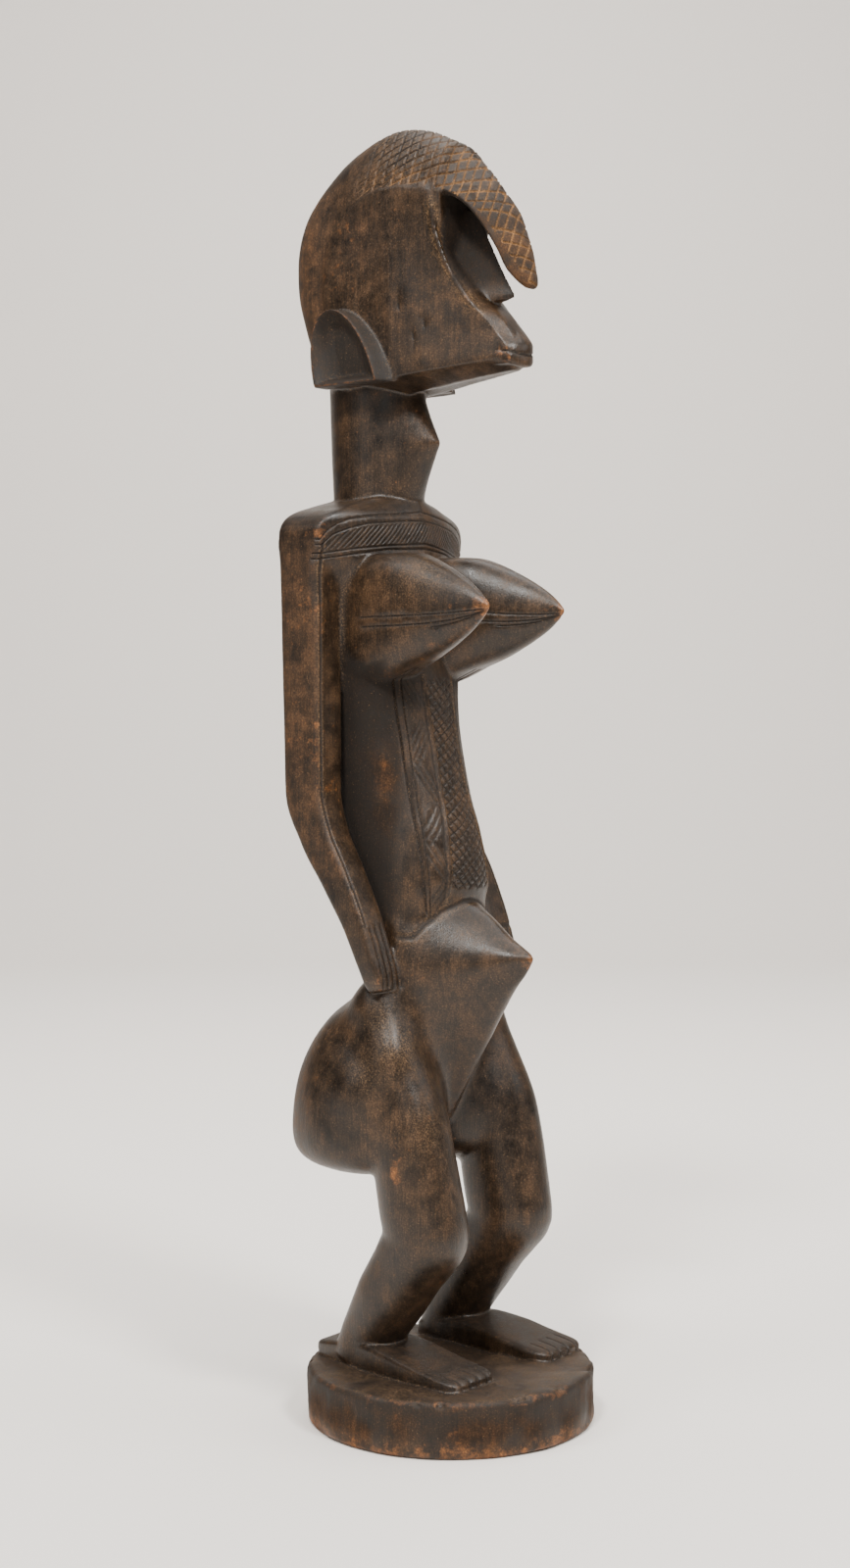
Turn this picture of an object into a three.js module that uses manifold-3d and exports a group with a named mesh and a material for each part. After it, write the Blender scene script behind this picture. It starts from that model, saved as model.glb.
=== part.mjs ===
// Standing female figure carved with its round base from one block of dark hardwood.
// Millimetres. +X is the figure's left, -Y its front, +Z up, origin at the centre of the base's underside.
// The body stands a little off the centre of its base, so it is shaped about its own middle plane first.
import * as THREE from "three";
import { mergeVertices } from "three/addons/utils/BufferGeometryUtils.js";
import Module from "manifold-3d";

const wasm = await Module();
wasm.setup();

// Driving sizes
const base = { radius: 84, height: 31.9, topRim: 2.6, footRim: 2, sides: 44 };
const body = { x: 11, y: 9 };
const arm = { x: 55.5, halfWidth: 11.5, halfDepth: 14.5, backY: 76 };
const leg = { x: 40, thigh: 25.2, shin: 21, ankle: 17.5 };
const buttock = { x: 31, y: 37, z: 172, halfWidth: 41.5, halfDepth: 49, rise: 75.5, drop: 29 };
const breast = { root: [23, 46, 473], tip: [36.5, -57, 473.5], halfWidth: 22, halfHeight: 34 };
const neck = { halfWidth: 25, keelWidth: 12 };
const head = { halfWidth: 28, capHalfWidth: 27, capBackY: 83.5, capBackRadius: 28.6 };
const ear = { rootX: 26, rimX: 38.5, y: 50, bottom: 607, height: 45.5, halfWidth: 24.5, lean: 12.5, flare: 6 };
const scoop = { depth: 8, rim: 3, lift: 3.5 };
const jaw = { back: 609.5, rise: 0.1, keel: 7, keelY: -2 };
const nose = { halfWidth: 5.6, cheek: 17, depth: 32 };
const mouth = { halfWidth: 10.6, front: -54.8, bow: 3.6, bottom: 612, top: 624 };
const lips = { z: 617.6, height: 1.4, depth: 3 };
const rightFoot = { heelX: -35, heelY: 66, toeX: -44.5, toeY: -53 };
const leftFoot = { heelX: 37, heelY: 47, toeX: 38, toeY: -56 };
const toes = { count: 5, length: 20, span: 34 };
const groove = { width: 1.3, depth: 2.2 };

// Points round a limb, a trunk or a head, and along one face of a curved slab
const round = 22;
const face = 10;

const up = new THREE.Vector3(0, 0, 1);
const backward = new THREE.Vector3(0, 1, 0);

// Closed body through rings of equal length, with a fan at each end.
function loft(rings) {
  const count = rings[0].length;
  const positions = [];
  for (const ring of rings) {
    for (const point of ring) positions.push(point.x, point.y, point.z);
  }
  const index = [];
  for (let row = 0; row < rings.length - 1; row += 1) {
    for (let i = 0; i < count; i += 1) {
      const a = row * count + i;
      const b = row * count + (i + 1) % count;
      index.push(a, b, b + count, a, b + count, a + count);
    }
  }
  for (const row of [0, rings.length - 1]) {
    const centre = rings[row].reduce((sum, point) => sum.add(point), new THREE.Vector3()).divideScalar(count);
    positions.push(centre.x, centre.y, centre.z);
    const hub = positions.length / 3 - 1;
    for (let i = 0; i < count; i += 1) {
      const a = row * count + i;
      const b = row * count + (i + 1) % count;
      index.push(...(row === 0 ? [hub, b, a] : [hub, a, b]));
    }
  }
  const geometry = new THREE.BufferGeometry();
  geometry.setAttribute("position", new THREE.Float32BufferAttribute(positions, 3));
  geometry.setIndex(index);
  return geometry;
}

// Volume enclosed by a closed mesh, negative where its faces point inwards.
function signedVolume(geometry) {
  const position = geometry.getAttribute("position");
  const index = geometry.getIndex();
  const [a, b, c] = [new THREE.Vector3(), new THREE.Vector3(), new THREE.Vector3()];
  let volume = 0;
  for (let i = 0; i < index.count; i += 3) {
    a.fromBufferAttribute(position, index.getX(i));
    b.fromBufferAttribute(position, index.getX(i + 1));
    c.fromBufferAttribute(position, index.getX(i + 2));
    volume += a.dot(b.cross(c)) / 6;
  }
  return volume;
}

// Solid from a closed geometry, turned so that its faces point outwards.
function solid(source) {
  const geometry = source.clone();
  geometry.deleteAttribute("normal");
  geometry.deleteAttribute("uv");
  const merged = mergeVertices(geometry, 1e-4);
  const index = Array.from(merged.getIndex().array);
  if (signedVolume(merged) < 0) index.reverse();
  return new wasm.Manifold(new wasm.Mesh({
    numProp: 3,
    vertProperties: new Float32Array(merged.getAttribute("position").array),
    triVerts: new Uint32Array(index),
  }));
}

function joined(solids) {
  return solids.reduce((whole, piece) => whole.add(piece));
}

// Value at height z from a list of [z, value] pairs, straight between them.
function along(pairs, z) {
  const last = pairs.length - 1;
  if (z <= pairs[0][0]) return pairs[0][1];
  if (z >= pairs[last][0]) return pairs[last][1];
  const i = pairs.findIndex((pair) => pair[0] > z);
  return THREE.MathUtils.mapLinear(z, pairs[i - 1][0], pairs[i][0], pairs[i - 1][1], pairs[i][1]);
}

// Signed power of a sine or cosine: 1 gives an ellipse, below 1 a squarer oval.
function squared(value, power) {
  return Math.sign(value) * Math.abs(value) ** power;
}

// Oval round a centre, with half width along X and half depth along the unit vector depthAxis.
function oval(centre, depthAxis, halfWidth, halfDepth, squareness = 1, count = round) {
  return Array.from({ length: count }, (_, i) => {
    const angle = (i / count) * Math.PI * 2;
    return centre.clone()
      .add(new THREE.Vector3(squared(Math.cos(angle), squareness) * halfWidth, 0, 0))
      .addScaledVector(depthAxis, squared(Math.sin(angle), squareness) * halfDepth);
  });
}

// Limb along a path in side view, each station [x, y, z, half width, half depth], its ovals square to the path.
function limb(stations, squareness, side, count = round) {
  const centres = stations.map(([x, y, z]) => new THREE.Vector3(side * x, y, z));
  const rings = stations.map(([, , , halfWidth, halfDepth], i) => {
    const before = centres[Math.max(i - 1, 0)];
    const after = centres[Math.min(i + 1, centres.length - 1)];
    const run = after.clone().sub(before).setX(0).normalize();
    return oval(centres[i], new THREE.Vector3(0, run.z, -run.y), halfWidth, halfDepth, squareness, count);
  });
  return solid(loft(rings));
}

// Flat ring at height z: front curve from side to side, then a back curve, both given as y at x / half width.
function slabRing(z, halfWidth, front, back) {
  const points = [];
  for (let i = 0; i <= face; i += 1) {
    const t = -Math.cos((i / face) * Math.PI);
    points.push(new THREE.Vector3(t * halfWidth, front(t), z));
  }
  for (let i = 1; i < face; i += 1) {
    const t = Math.cos((i / face) * Math.PI);
    points.push(new THREE.Vector3(t * halfWidth, back(t), z));
  }
  return points;
}

// Round base
function baseSolid() {
  const outline = [new THREE.Vector2(0, 0)];
  const arc = 3;
  const corner = (radius, z, start) => {
    for (let i = 0; i <= arc; i += 1) {
      const angle = start + (i / arc) * Math.PI / 2;
      outline.push(new THREE.Vector2(
        base.radius - radius + Math.cos(angle) * radius,
        z + Math.sin(angle) * radius,
      ));
    }
  };
  corner(base.footRim, base.footRim, -Math.PI / 2);
  corner(base.topRim, base.height - base.topRim, 0);
  outline.push(new THREE.Vector2(0, base.height));
  const disc = new THREE.LatheGeometry(outline, base.sides);
  disc.rotateX(Math.PI / 2);
  return solid(disc);
}

// Foot from the heel to the toes, sunk in the base and softly rounded above: each row is
// [share of the length, half width, height above the base]
function footSolid({ heelX, heelY, toeX, toeY }) {
  const sunk = base.height - 8;
  const rows = [
    [0, 9, 6], [0.04, 14.5, 8.5], [0.14, 17, 11], [0.26, 18.5, 13.5], [0.4, 19.5, 15], [0.54, 20.5, 13.5],
    [0.67, 21, 11], [0.82, 21, 8], [0.94, 20, 6.2], [0.98, 18, 5.2], [1, 15, 3.6],
  ];
  const rings = rows.map(([share, halfWidth, rise]) => {
    const top = base.height + rise;
    const centre = new THREE.Vector3(
      THREE.MathUtils.lerp(heelX, toeX, share),
      THREE.MathUtils.lerp(heelY, toeY, share),
      (top + sunk) / 2,
    );
    return oval(centre, up, halfWidth, (top - sunk) / 2, 0.42, 16);
  });
  let shape = solid(loft(rings));
  for (let i = 1; i < toes.count; i += 1) {
    const cut = new THREE.BoxGeometry(groove.width, toes.length, groove.depth * 2);
    cut.translate(toeX + (i / toes.count - 0.5) * toes.span, toeY + toes.length / 3, base.height + 7.6);
    shape = shape.subtract(solid(cut));
  }
  return shape;
}

// Bent leg from the hip to the foot; the left ankle stands further in, so that it stays on the base
function legSolid(side) {
  const inward = side > 0 ? 3 : 0;
  return limb([
    [25, 16, 268, 10, 10],
    [29, 16, 256, 17, 15],
    [34.5, 15, 240, 23, 20.5],
    [38, 10, 215, leg.thigh, 24.2],
    [leg.x, -4, 177.5, leg.thigh, 25.2],
    [leg.x, -12, 127, leg.thigh - 0.8, 25.6],
    [leg.x, -14.5, 112, leg.thigh - 2, 24.8],
    [leg.x, -0.8, 92, leg.shin + 0.5, 21.4],
    [leg.x, 12, 73, leg.shin, 20.5],
    [leg.x - inward * 0.7, 27.5 - inward * 0.7, 49, leg.ankle, leg.ankle],
    [leg.x - inward, 34 - inward, 36, leg.ankle, leg.ankle],
  ], 1, side, 20);
}

// Full buttock: flat ovals whose size follows a tall dome above the widest level and a flat bowl below it
function buttockSolid(side) {
  const rows = 4;
  const rings = [];
  for (let i = -rows; i <= rows * 2; i += 1) {
    const low = i < 0;
    const reach = Math.abs(Math.sin((i / (low ? rows : rows * 2)) * Math.PI / 2)) * 0.995;
    const size = low ? (1 - reach ** 3.4) ** 0.42 : (1 - reach ** 2) ** 0.58;
    const z = buttock.z + (low ? -reach * buttock.drop : reach * buttock.rise);
    const centre = new THREE.Vector3(side * buttock.x, buttock.y, z);
    rings.push(oval(centre, backward, buttock.halfWidth * size, buttock.halfDepth * size));
  }
  return solid(loft(rings));
}

// Pelvis and belly, keeled in front and drawn out to the point of the navel:
// each row is [z, half width, front at the middle, y at the sides, back]
function bellySolid() {
  const rows = [
    [172, 14, 1, 12, 30], [195, 22, -12.8, 12, 36], [215, 32, -25.7, 10, 40], [235, 42, -38.6, 8, 42],
    [256, 46, -52, 8, 41], [269, 45.5, -60.5, 8, 41], [271.5, 45, -62, 8, 41], [274, 44.5, -60.5, 8, 41],
    [281, 42.5, -49, 9, 42], [291, 40.5, -34.8, 10, 44], [301, 38, -19, 14, 47],
  ];
  return solid(loft(rows.map(([z, halfWidth, frontY, sideY, backY]) => slabRing(
    z,
    halfWidth,
    (t) => frontY + (sideY - frontY) * Math.abs(t) ** 1.2,
    (t) => sideY + (backY - sideY) * Math.sqrt(1 - t * t),
  ))));
}

// Torso between the arms: each row is [z, half width, front, back]
function torsoSolid() {
  const rows = [
    [285, 40, -11, 46], [302, 40, -13.5, 51], [314.5, 40, -16, 54], [340.5, 40.5, -11.5, 66],
    [363.5, 40.5, -4, 71], [400.5, 40.5, 5, 74], [432.5, 43.5, 10, 75], [465, 47, 16, 76], [505, 48, 20, 77],
  ];
  return solid(loft(rows.map(([z, halfWidth, front, back]) => oval(
    new THREE.Vector3(0, (front + back) / 2, z),
    backward,
    halfWidth,
    (back - front) / 2,
  ))));
}

// Shoulders and upper chest, drawn in at the back below the shoulder blades:
// each row is [z, half width, front at the middle, front at the sides]
function yokeSolid() {
  const blades = 490;
  const rows = [
    [436, 44, 11, 45], [462, 52, 16.5, 46], [486, 60, 20, 46], [490, 68, 20, 46], [512, 68.3, 20, 46],
    [519, 67.8, 20, 45], [524, 65.8, 20.5, 43.5], [528, 62, 21, 42],
    [531.5, 55, 22, 40], [535, 43, 23.5, 38], [538.5, 31, 25, 37], [542, 18, 28, 37],
  ];
  return solid(loft(rows.map(([z, halfWidth, middle, side]) => slabRing(
    z,
    halfWidth,
    (t) => middle + (side - middle) * Math.abs(t) ** 1.7,
    (t) => arm.backY + 3.5 * (1 - t * t) - Math.max(0, blades - z) * 0.4,
  ))));
}

// Square-edged arm, straight to the elbow and bent forward to the hand that lies on the hip
function armSolid(side) {
  const spread = side > 0 ? 4 : 0;
  const shape = limb([
    [arm.x + 0.8, 61, 512, arm.halfWidth + 0.7, arm.halfDepth + 1.2],
    [arm.x, 60, 396, arm.halfWidth, arm.halfDepth],
    [arm.x, 59.5, 368, arm.halfWidth, arm.halfDepth - 0.5],
    [55.3 + spread / 2, 50.5 - spread / 2, 341.5, 11.4, 11.6],
    [55 + spread, 36 - spread, 317.5, 11.2, 10],
    [54.5 + spread, 23 - spread, 293.5, 11, 8.4],
    [54 + spread, 14.5 - spread, 273.5, 10.6, 7.4],
    [53.4 + spread, 9.5 - spread, 260, 10, 6.6],
    [53 + spread, 8 - spread, 254, 8, 5],
  ], 0.25, side, 20);
  const fingers = 5;
  const length = 40;
  let hand = shape;
  for (let i = 1; i < fingers; i += 1) {
    const cut = new THREE.BoxGeometry(groove.width, groove.depth * 2, length);
    cut.rotateX(THREE.MathUtils.degToRad(-25));
    cut.translate(side * (44 + spread + i * 4), 7.2 - spread, 276);
    hand = hand.subtract(solid(cut));
  }
  return hand;
}

// Pointed breast, blunt at its tip
function breastSolid(side) {
  const rows = 9;
  const rings = [];
  for (let i = 0; i <= rows; i += 1) {
    const t = Math.sin((i / rows) * Math.PI / 2) * 0.995;
    const size = (1 - t ** 2.2) ** 0.85;
    const centre = new THREE.Vector3(...breast.root).lerp(new THREE.Vector3(...breast.tip), t);
    centre.x *= side;
    rings.push(oval(centre, up, breast.halfWidth * size, breast.halfHeight * size, 1, 20));
  }
  return solid(loft(rings));
}

// Neck with a keel down its front, most prominent at mid height
function neckSolid() {
  const keel = [[538, 0], [573.5, 18], [600.5, 5], [614, 2]];
  const middle = [[536, 55.8], [614, 57.6]];
  const halfDepth = [[536, 28.4], [614, 30.6]];
  const rings = [536, 542, 556, 570, 573.5, 577, 588, 600.5, 614].map((z) => {
    const centre = new THREE.Vector3(0, along(middle, z), z);
    const ring = oval(centre, backward, neck.halfWidth, along(halfDepth, z), 1, 28);
    for (const point of ring) {
      if (point.y < centre.y) point.y -= along(keel, z) * Math.exp(-((point.x / neck.keelWidth) ** 2));
    }
    return ring;
  });
  return solid(loft(rings));
}

// Head below the hairline: flat sides that draw in to the face, and a shallow hollow between the face's edges.
// Each row is [z, half width at the face's edge, y of that edge, hollow beside the nose, back]
function faceSolid() {
  const rows = [
    [618.6, 10.9, -50, -3.6, 76], [631.5, 12.2, -42.3, -6.6, 76],
    [641.5, 14.7, -34.6, -7, 76], [650.5, 17.2, -26.1, -6, 76], [660, 19.3, -20.5, -3, 76],
    [669.5, 21.5, -15.3, 0, 76], [681.5, 24, -11.4, 3.4, 75], [697.5, 26.3, -7.4, 3.4, 69],
    [708.5, 27.4, -6.6, 3, 59], [715, 28, -6, 2, 49], [718.5, 27.6, -4, 1, 38],
  ];
  const cheekY = 24;
  const ringOf = ([edge, edgeY, hollow, back], heightAt) => {
    const half = [
      [0, edgeY + hollow], [edge * 0.45, edgeY + hollow], [edge * 0.8, edgeY + hollow * 0.35], [edge, edgeY],
      [edge + (head.halfWidth - edge) * 0.45, edgeY + (cheekY - edgeY) * 0.38],
      [edge + (head.halfWidth - edge) * 0.8, edgeY + (cheekY - edgeY) * 0.7],
      [head.halfWidth, cheekY], [head.halfWidth, (cheekY + back) / 2], [head.halfWidth - 0.6, back],
      [14, back + 1], [0, back + 1],
    ];
    const left = half.map(([x, y]) => new THREE.Vector3(x, y, heightAt(x, y)));
    const right = half.slice(1, -1).reverse().map(([x, y]) => new THREE.Vector3(-x, y, heightAt(x, y)));
    return [...left, ...right];
  };
  const jawEdge = (x, y) => jaw.back + Math.max(0, cheekY - y) * jaw.rise;
  const chin = [10.4, -50.8, -2.5, 76];
  const lower = ringOf(chin, jawEdge);
  const keel = ringOf(chin, (x, y) => jawEdge(x, y) - jaw.keel);
  for (const point of keel) {
    point.x *= 0.3;
    point.y = jaw.keelY + (point.y - jaw.keelY) * 0.93;
  }
  const rings = rows.map(([z, ...shape]) => ringOf(shape, () => z));
  return solid(loft([keel, lower, ...rings]));
}

// Crested cap from the brow to the nape: each row is [y, top, bottom]
function capSolid() {
  const rows = [
    [-12, 744, 690], [0, 750.6, 660], [15, 756.8, 650], [32, 759.3, 650], [46, 757, 645], [60, 752, 630],
    [72, 746, 612], [82, 738.5, 608], [91.5, 729.5, 619], [99, 720.5, 637], [105, 709, 652], [109.5, 698, 664],
    [111.6, 690, 676],
  ];
  const rings = rows.map(([y, top, bottom]) => {
    const past = Math.max(0, (y - head.capBackY) / head.capBackRadius);
    const halfWidth = head.capHalfWidth * Math.sqrt(1 - past * past);
    return oval(new THREE.Vector3(0, y, (top + bottom) / 2), up, halfWidth, (top - bottom) / 2, 0.8);
  });
  return solid(loft(rings));
}

// Visor that carries the cap's crest down over the brow to a tip in front of the nose:
// each row is [z, half width, front at the middle, y of its edges, thickness]
function visorSolid() {
  const rows = [
    [656, 4, -59.5, -58.5, 3], [658, 7.8, -60.8, -57, 4.5], [661.5, 11, -60.5, -54.5, 5.8],
    [667, 14, -58.6, -51, 6.5], [677.5, 17, -55.6, -47, 7.5], [689.5, 20, -51, -40.5, 8.5],
    [701.5, 23.6, -46, -32.5, 10], [708, 25.4, -42, -26, 13], [712.5, 26.6, -39, -19, 18],
    [716, 26.7, -36.8, -9, 28], [720, 26.2, -34.2, -2, 30], [726, 25.4, -29.5, 2, 28],
    [733, 23.6, -23.5, 5, 24], [740, 20.4, -17, 5, 20], [744, 13.5, -13.5, 3, 14], [746, 6, -11.5, 0, 8],
  ];
  return solid(loft(rows.map(([z, halfWidth, middle, edge, thickness]) => slabRing(
    z,
    halfWidth,
    (t) => middle + (edge - middle) * t * t,
    (t) => middle + (edge - middle) * t * t + thickness * (1 - t ** 6),
  ))));
}

// Wedge nose with a sharp ridge: each row is [z, y of the ridge]
function noseSolid() {
  const rows = [[650.5, -46.5], [653.5, -47], [666, -39.5], [680, -32], [695, -25], [706, -20]];
  const rings = rows.map(([z, ridge], i) => {
    const lift = i === 0 ? 1 : 0;
    return [
      new THREE.Vector3(0, ridge, z + lift),
      new THREE.Vector3(nose.halfWidth, ridge + nose.cheek, z - lift),
      new THREE.Vector3(nose.halfWidth + 2, ridge + nose.depth, z - lift),
      new THREE.Vector3(-nose.halfWidth - 2, ridge + nose.depth, z - lift),
      new THREE.Vector3(-nose.halfWidth, ridge + nose.cheek, z - lift),
    ];
  });
  return solid(loft(rings));
}

// Mouth: a small block across the chin, parted by one slit that is cut when the head is whole
function mouthSolid() {
  const depth = 12;
  return solid(loft([mouth.bottom, mouth.top].map((z) => slabRing(
    z,
    mouth.halfWidth,
    (t) => mouth.front + mouth.bow * t * t,
    (t) => mouth.front + mouth.bow * t * t + depth,
  ))));
}

function mouthSlit() {
  const slit = new THREE.BoxGeometry(mouth.halfWidth * 3, lips.depth * 2, lips.height);
  slit.translate(0, mouth.front, lips.z);
  return solid(slit);
}

// Ear: an arched flange that stands off the head, flared at its root and hollowed from outside
function earSolid(side) {
  const arch = (x, grow) => {
    const points = [];
    const count = 14;
    for (let i = 0; i <= count; i += 1) {
      const angle = (i / count) * Math.PI;
      const rise = Math.sin(angle);
      const ahead = Math.cos(angle);
      const reach = ear.halfWidth + (ahead > 0 ? grow : Math.min(grow, 0));
      const y = ear.y + ear.lean * rise - ahead * reach;
      points.push(new THREE.Vector3(side * x, y, ear.bottom + rise * (ear.height + Math.min(grow, 0))));
    }
    return points;
  };
  const flange = solid(loft([arch(ear.rootX, ear.flare), arch(ear.rimX, 0)]));
  const hollow = solid(loft([
    arch(ear.rimX + 1, -scoop.rim),
    arch(ear.rimX - scoop.depth * 0.5, -scoop.rim - 2.5),
    arch(ear.rimX - scoop.depth, -scoop.rim - 10),
  ])).translate(0, 0, scoop.lift);
  return flange.subtract(hollow);
}

const pieces = [torsoSolid(), bellySolid(), yokeSolid(), neckSolid(), faceSolid(), capSolid(), visorSolid()];
pieces.push(noseSolid(), mouthSolid());
for (const side of [-1, 1]) {
  pieces.push(legSolid(side), buttockSolid(side), armSolid(side), breastSolid(side), earSolid(side));
}
pieces.push(footSolid(rightFoot), footSolid(leftFoot));
const standing = joined(pieces).subtract(mouthSlit()).translate(body.x, body.y, 0);
const under = new THREE.BoxGeometry(300, 300, base.height);
under.translate(0, 0, base.height / 2 - 6);
const carving = baseSolid().add(standing.subtract(solid(under)));

// Mesh from a solid, with flat facets
function meshOf(shape, name, material) {
  const { vertProperties, triVerts } = shape.getMesh();
  const geometry = new THREE.BufferGeometry();
  geometry.setAttribute("position", new THREE.BufferAttribute(new Float32Array(vertProperties), 3));
  geometry.setIndex(new THREE.BufferAttribute(new Uint32Array(triVerts), 1));
  geometry.computeVertexNormals();
  const mesh = new THREE.Mesh(geometry, material);
  mesh.name = name;
  return mesh;
}

const darkWood = new THREE.MeshStandardMaterial({ color: 0x33291f, roughness: 0.5, metalness: 0 });
const group = new THREE.Group();
group.add(meshOf(carving, "figure", darkWood));

export default group;
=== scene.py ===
# Standing female figure with its round base, carved from one block of dark hardwood.
# The carving is worked out in millimetres about the body's own middle plane, then set on its base.
import math
import bpy
import numpy as np
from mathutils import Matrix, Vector


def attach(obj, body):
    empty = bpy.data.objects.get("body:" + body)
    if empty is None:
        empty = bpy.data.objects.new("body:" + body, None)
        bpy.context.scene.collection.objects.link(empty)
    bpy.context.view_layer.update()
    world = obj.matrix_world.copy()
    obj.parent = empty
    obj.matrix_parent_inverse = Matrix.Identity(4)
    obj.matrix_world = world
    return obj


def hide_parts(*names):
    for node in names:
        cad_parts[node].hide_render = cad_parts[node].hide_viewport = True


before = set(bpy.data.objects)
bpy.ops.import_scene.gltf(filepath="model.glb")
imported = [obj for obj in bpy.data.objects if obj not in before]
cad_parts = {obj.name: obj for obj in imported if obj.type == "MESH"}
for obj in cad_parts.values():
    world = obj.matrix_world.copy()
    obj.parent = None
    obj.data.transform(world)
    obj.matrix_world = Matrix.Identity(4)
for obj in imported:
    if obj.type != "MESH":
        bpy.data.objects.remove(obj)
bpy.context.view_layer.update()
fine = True

# Where the body's middle plane stands on the base, the voxels that join the forms, and the triangles kept
build = {"bodyX": 11.0, "bodyY": 9.0, "voxel": 0.8 if fine else 1.3, "softVoxel": 1.7, "triangles": 192000}

# Rounds and share of each smoothing: hips, lower body, hollows at visor and armpit, all seams, halved faces
soften = {"hips": (45, 0.9), "body": (3, 0.4), "hollows": (40, 0.8), "seams": (5, 0.6), "halved": (2, 0.4)}


# Camera at the photograph's height and angle: degrees, metres and millimetres of lens
cameraSet = {"azimuth": 51, "distance": 1.321, "side": -0.0153, "height": 0.411, "pitch": 1.71, "lens": 51.3}


def placeCamera():
    # Stands off the body's middle by azimuth and distance, moved sideways, and looks down by the pitch
    turn = math.radians(cameraSet["azimuth"])
    back = Vector((-math.sin(turn), -math.cos(turn), 0))
    right = Vector((math.cos(turn), -math.sin(turn), 0))
    down = math.radians(cameraSet["pitch"])
    data = bpy.data.cameras.new("camera")
    data.lens = cameraSet["lens"]
    data.sensor_width = 36
    data.clip_start = 0.05
    camera = bpy.data.objects.new("camera", data)
    stand = Vector((build["bodyX"] / 1000, build["bodyY"] / 1000, cameraSet["height"]))
    camera.location = stand + back * cameraSet["distance"] + right * cameraSet["side"]
    look = -back * math.cos(down) - Vector((0, 0, math.sin(down)))
    camera.rotation_euler = look.to_track_quat("-Z", "Y").to_euler()
    bpy.context.scene.collection.objects.link(camera)
    bpy.context.scene.camera = camera
    return back, right


toCamera, toRight = placeCamera()
print("camera placed")


# Helpers for curves, rings and skins

deepAxis, upAxis = np.array([0, 1.0, 0]), np.array([0, 0, 1.0])


def through(rows, count, sharp=False, spacing=None):
    # Values at even steps through rows of numbers: straight between rows when sharp, otherwise a cubic whose
    # slope at each row is the harmonic mean of its two chords, so it never overshoots
    rows = np.array(rows, float)
    if spacing is None:
        step = np.abs(np.diff(rows[:, 0]))
    else:
        step = np.linalg.norm(np.diff(rows[:, spacing], axis=0), axis=1)
    knots = np.concatenate([[0], np.cumsum(step)])
    at = np.linspace(0, knots[-1], count)
    cell = np.clip(np.searchsorted(knots, at, side="right") - 1, 0, len(step) - 1)
    gap = step[cell][:, None]
    u = (at - knots[cell])[:, None] / gap
    low, high = rows[cell], rows[cell + 1]
    if sharp:
        return low + (high - low) * u
    chord = np.diff(rows, axis=0) / step[:, None]
    slope = np.zeros_like(rows)
    product = chord[:-1] * chord[1:]
    total = chord[:-1] + chord[1:]
    slope[1:-1] = np.where(product > 0, 2 * product / np.where(total == 0, 1, total), 0)
    slope[0], slope[-1] = chord[0], chord[-1]
    cube, square = u ** 3, u ** 2
    return ((2 * cube - 3 * square + 1) * low + (cube - 2 * square + u) * gap * slope[cell]
            + (3 * square - 2 * cube) * high + (cube - square) * gap * slope[cell + 1])


def bent(values, power):
    # Signed power of a sine or cosine: 1 gives an ellipse, below 1 a squarer oval
    return np.sign(values) * np.abs(values) ** power


def ovals(centres, depthAxis, halfWidth, halfDepth, squareness=1.0, count=96):
    # Rings round the centres: half width along X times a cosine, half depth along the depth axis times a sine
    angle = np.linspace(0, 2 * np.pi, count, endpoint=False)
    across = bent(np.cos(angle), squareness)[None, :, None] * np.array([1.0, 0, 0])
    depthAxis = np.broadcast_to(depthAxis, centres.shape)[:, None, :]
    deep = bent(np.sin(angle), squareness)[None, :, None] * depthAxis
    return (centres[:, None, :] + across * np.broadcast_to(halfWidth, len(centres))[:, None, None]
            + deep * np.broadcast_to(halfDepth, len(centres))[:, None, None])


def slabs(z, halfWidth, front, back, count=48):
    # Level rings at heights z: a front curve from side to side and a back curve home, y by the share across
    share = -np.cos(np.linspace(0, np.pi, count + 1))
    home = share[::-1][1:-1]
    x = np.concatenate([share, home])[None, :] * halfWidth[:, None]
    y = np.concatenate([front(share), back(home)], axis=1)
    return np.stack([x, y, np.broadcast_to(z[:, None], x.shape)], axis=-1)


def skin(rings):
    # Closed skin over rings of points: two triangles between neighbours, a fan at each end, faces outward
    rows, count = rings.shape[:2]
    points = np.vstack([rings.reshape(-1, 3), rings[[0, -1]].mean(axis=1)])
    i = np.arange(count)
    j = (i + 1) % count
    row = np.arange(rows - 1)[:, None] * count
    a, b = row + i, row + j
    walls = np.stack([a, b, b + count, a, b + count, a + count], axis=-1).reshape(-1, 3)
    low = np.stack([np.full(count, rows * count), j, i], axis=-1)
    top = (rows - 1) * count
    high = np.stack([np.full(count, rows * count + 1), i + top, j + top], axis=-1)
    faces = np.vstack([walls, low, high])
    p, q, r = (points[faces[:, k]] for k in range(3))
    return (points, faces[:, ::-1]) if (np.cross(p, q) * r).sum() < 0 else (points, faces)


def limb(stations, side, squareness, count, steps, sharp, ease=3):
    # Tube along a path in side view: ovals square to the path, each with its half width and half depth;
    # the path's direction is averaged with its neighbours' as often as ease says
    rows = through(stations, steps, sharp, spacing=[0, 1, 2])
    rows[:, 0] *= side
    run = np.gradient(rows[:, :3], axis=0)
    for _ in range(ease):
        run[1:-1] = (run[:-2] + run[1:-1] + run[2:]) / 3
    run[:, 0] = 0
    run /= np.linalg.norm(run, axis=1)[:, None]
    depthAxis = np.stack([np.zeros(len(run)), run[:, 2], -run[:, 1]], axis=-1)
    return rows[:, :3], ovals(rows[:, :3], depthAxis, rows[:, 3], rows[:, 4], squareness, count)


def joinedSkins(skins):
    # One list of points and one of faces, each skin's faces counted on from the points before it
    starts = np.cumsum([0] + [len(points) for points, faces in skins[:-1]])
    return (np.vstack([points for points, faces in skins]),
            np.vstack([faces + start for (points, faces), start in zip(skins, starts)]))


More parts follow.
